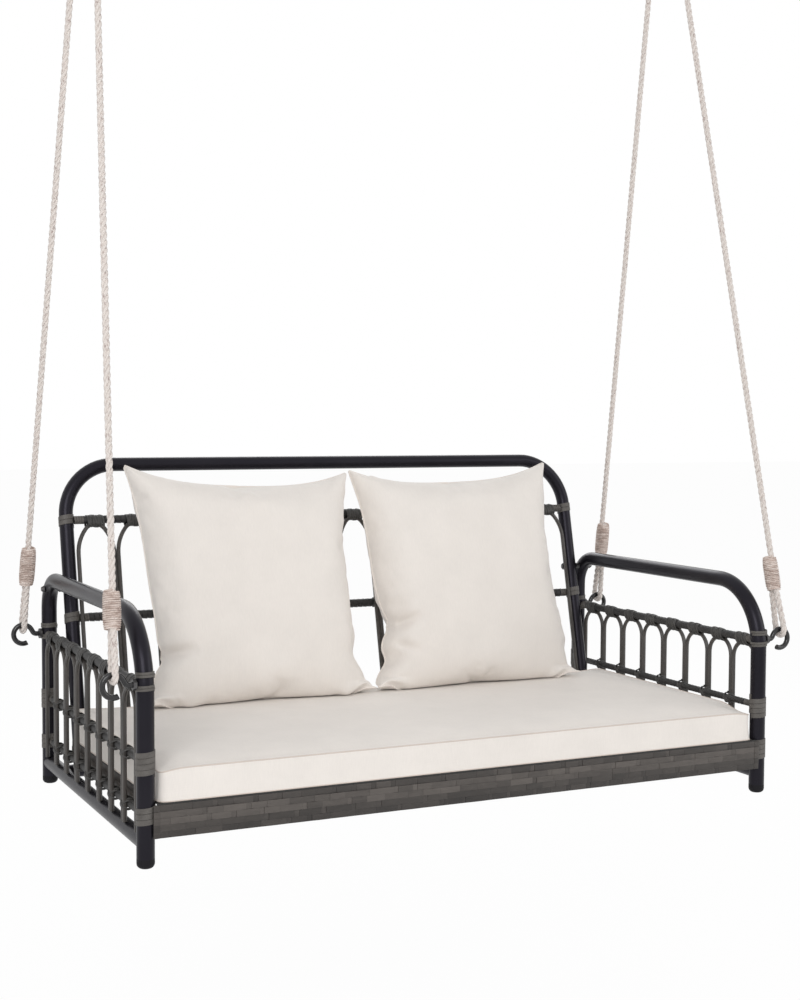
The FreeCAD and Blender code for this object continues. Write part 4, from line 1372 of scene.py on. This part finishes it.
def cushion_blank(wide, deep):
    """A boxed pad with rounded corners, its foot at the origin's level, with its two seams marked."""
    bpy.ops.mesh.primitive_grid_add(x_subdivisions=108, y_subdivisions=50, size=1)
    blank = newest("seat_pad")
    blank.scale = (wide, deep, 1)
    settle(blank)
    round_corners(blank, 0, 1, CUSHION_CORNER)
    mark_seam(blank)
    edit("SELECT")
    step = (0, 0, CUSHION_EDGE / CUSHION_WALL_ROWS)
    for _ in range(CUSHION_WALL_ROWS):
        bpy.ops.mesh.extrude_region_move(TRANSFORM_OT_translate={"value": step})
    bpy.ops.mesh.select_all(action="SELECT")
    bpy.ops.mesh.normals_make_consistent(inside=False)
    leave_edit()
    for vertex, item in zip(blank.data.vertices, blank.data.attributes["seam"].data):
        if 0.001 < vertex.co.z < CUSHION_EDGE - 0.001:
            item.value = 0.0
    return blank


def swell_cushion(blank, crown):
    """Swell a pad by cloth simulation: a low crown inside its top seam and slightly full sides."""
    start = [vertex.co.copy() for vertex in blank.data.vertices]
    half_x = max(spot.x for spot in start)
    half_y = max(spot.y for spot in start)
    pins = blank.vertex_groups.new(name="resting")
    pins.add([index for index, spot in enumerate(start) if spot.z < 0.001], 1.0, "REPLACE")
    inflate(blank, *CUSHION_SWELL, "resting")
    for vertex, before in zip(blank.data.vertices, start):
        moved = vertex.co - before
        side = Vector((moved.x, moved.y, 0))
        if side.length > CUSHION_GROWTH:
            side *= CUSHION_GROWTH / side.length
        inside = min(1.0, min(half_x - abs(before.x), half_y - abs(before.y)) / CUSHION_SLOPE)
        lift = crown * math.tanh(max(moved.z, 0.0) / crown) * (1 - (1 - inside) ** 2)
        vertex.co = before + side + Vector((0, 0, lift))


def fill_width(cushion):
    """Let the pad reach almost to the legs, raised at the arms and sunk at its front corners."""
    half = max(abs(vertex.co.x) for vertex in cushion.data.vertices)
    for vertex in cushion.data.vertices:
        share = abs(vertex.co.x) / half
        behind = eased((vertex.co.y - PAST_LEGS) / PAST_LEGS_REACH)
        near_end = max(0.0, abs(vertex.co.x) - half + CORNER_REACH) / CORNER_REACH
        rise = SIDE_RISE * behind * share ** 10
        dip = CORNER_DIP * near_end ** 2 * (1 - behind)
        vertex.co.z *= 1 + (rise - dip) / CUSHION_EDGE
        vertex.co.x += math.copysign(SIDE_FILL * share ** 6, vertex.co.x)


def seat_cushion():
    """The long seat cushion: a boxed foam pad, flat where it rests, piped above and below."""
    low, high = (Vector(corner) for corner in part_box("seat_cushion"))
    size = high - low
    cushion = cushion_blank(size.x - 2 * CUSHION_GROWTH, size.y - 2 * CUSHION_GROWTH)
    swell_cushion(cushion, size.z - CUSHION_EDGE)
    fill_width(cushion)
    seam_edges(cushion)
    pick(cushion)
    edit()
    pick_by("EDGE")
    bpy.ops.transform.edge_crease(value=0.6)
    pick_by("VERT")
    leave_edit()
    refine(cushion)
    middle = (low + high) / 2
    cushion.data.transform(Matrix.Translation((middle.x, middle.y, low.z)))
    seam_edges(cushion)
    welt = seam_tube("seat_pad_piping", cushion, SEAT_PIPING)
    smooth(cushion, 70)
    dress(cushion, CLOTH, "cushion")
    dress(welt, SEAT_PIPING_SHADE, "cushion")
    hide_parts("seat_cushion")


seat_cushion()
# Slope of the top edge; pulls on the side edges (side, height, depth, reach); folds in the front
back_pillow(
    "left",
    0.045,
    ((-1, -0.100, 0.018, 0.100), (-1, -0.128, 0.026, 0.020), (1, -0.150, 0.022, 0.026)),
    (((-0.185, -0.126), (-0.140, -0.120), 0.030, 0.009),),
)
back_pillow(
    "right",
    -0.027,
    (
        (-1, -0.080, 0.022, 0.060),
        (-1, -0.092, 0.024, 0.022),
        (-1, -0.165, 0.022, 0.024),
        (1, -0.080, -0.008, 0.070),
    ),
    (
        ((-0.175, -0.092), (-0.140, -0.080), 0.028, 0.008),
        ((-0.180, -0.140), (-0.145, -0.156), 0.018, 0.007),
    ),
)

# Stage


FLOOR = -0.42
FLOOR_GLOW = 0.96
SKY_LIGHT = 0.55


def light_stage():
    """A white studio that the camera sees at full strength, and three soft lamps."""
    world = bpy.data.worlds.new("studio")
    world.use_nodes = True
    bpy.context.scene.world = world
    tree = world.node_tree
    path = tree.nodes.new("ShaderNodeLightPath")
    seen = path.outputs["Is Camera Ray"]
    for ray in ("Is Glossy Ray", "Is Transmission Ray"):
        either = tree.nodes.new("ShaderNodeMath")
        either.operation = "MAXIMUM"
        tree.links.new(seen, either.inputs[0])
        tree.links.new(path.outputs[ray], either.inputs[1])
        seen = either.outputs[0]
    strength = tree.nodes.new("ShaderNodeMapRange")
    strength.inputs["To Min"].default_value = SKY_LIGHT
    strength.inputs["To Max"].default_value = 1.0
    tree.links.new(seen, strength.inputs["Value"])
    sky = tree.nodes["Background"]
    sky.inputs["Color"].default_value = (1, 1, 1, 1)
    tree.links.new(strength.outputs["Result"], sky.inputs["Strength"])
    middle = bench(0, 0, 0.35)
    for name, spot, size, power in (
        ("key", (-2.4, -3.6, 2.4), 2.4, 88),
        ("fill", (3.4, -2.4, 1.6), 2.6, 32),
        ("rim", (1.2, 3.4, 2.6), 2.4, 45),
    ):
        bpy.ops.object.light_add(type="AREA", location=bench(*spot))
        lamp = bpy.context.active_object
        lamp.name = name
        lamp.data.size = size
        lamp.data.energy = power
        lamp.rotation_euler = (middle - lamp.location).to_track_quat("-Z", "Y").to_euler()


def lay_floor():
    """A pale floor that the camera sees near white, with the swing's soft shadow on it."""
    spot = bench(0, 0, FLOOR)
    bpy.ops.mesh.primitive_grid_add(size=60, x_subdivisions=4, y_subdivisions=4, location=spot)
    floor = newest("floor")
    settle(floor)
    finish = Finish("pale_floor")
    tone = finish.noise((0.4, 0.4, 0.4), 2)
    finish.wear(
        Base__Color=finish.ramp(tone, [(0.3, (0.93, 0.93, 0.93)), (0.7, (0.95, 0.95, 0.95))]),
        Roughness=0.9,
        Specular__IOR__Level=0.1,
    )
    path = finish.add("ShaderNodeLightPath")
    glossy = finish.maths("MAXIMUM", path.outputs["Is Camera Ray"], path.outputs["Is Glossy Ray"])
    seen = finish.maths("MAXIMUM", glossy, path.outputs["Is Transmission Ray"])
    glow = finish.add("ShaderNodeEmission", {"Color": (1, 1, 1, 1), "Strength": 1.0})
    blend = finish.add("ShaderNodeMixShader", {"Fac": finish.maths("MULTIPLY", seen, FLOOR_GLOW)})
    finish.connect(finish.shader.outputs[0], blend.inputs[1])
    finish.connect(glow.outputs[0], blend.inputs[2])
    finish.connect(blend.outputs[0], finish.tree.nodes["Material Output"].inputs["Surface"])
    floor.data.materials.append(finish.material)


light_stage()
lay_floor()
bpy.context.scene.view_settings.view_transform = "Standard"
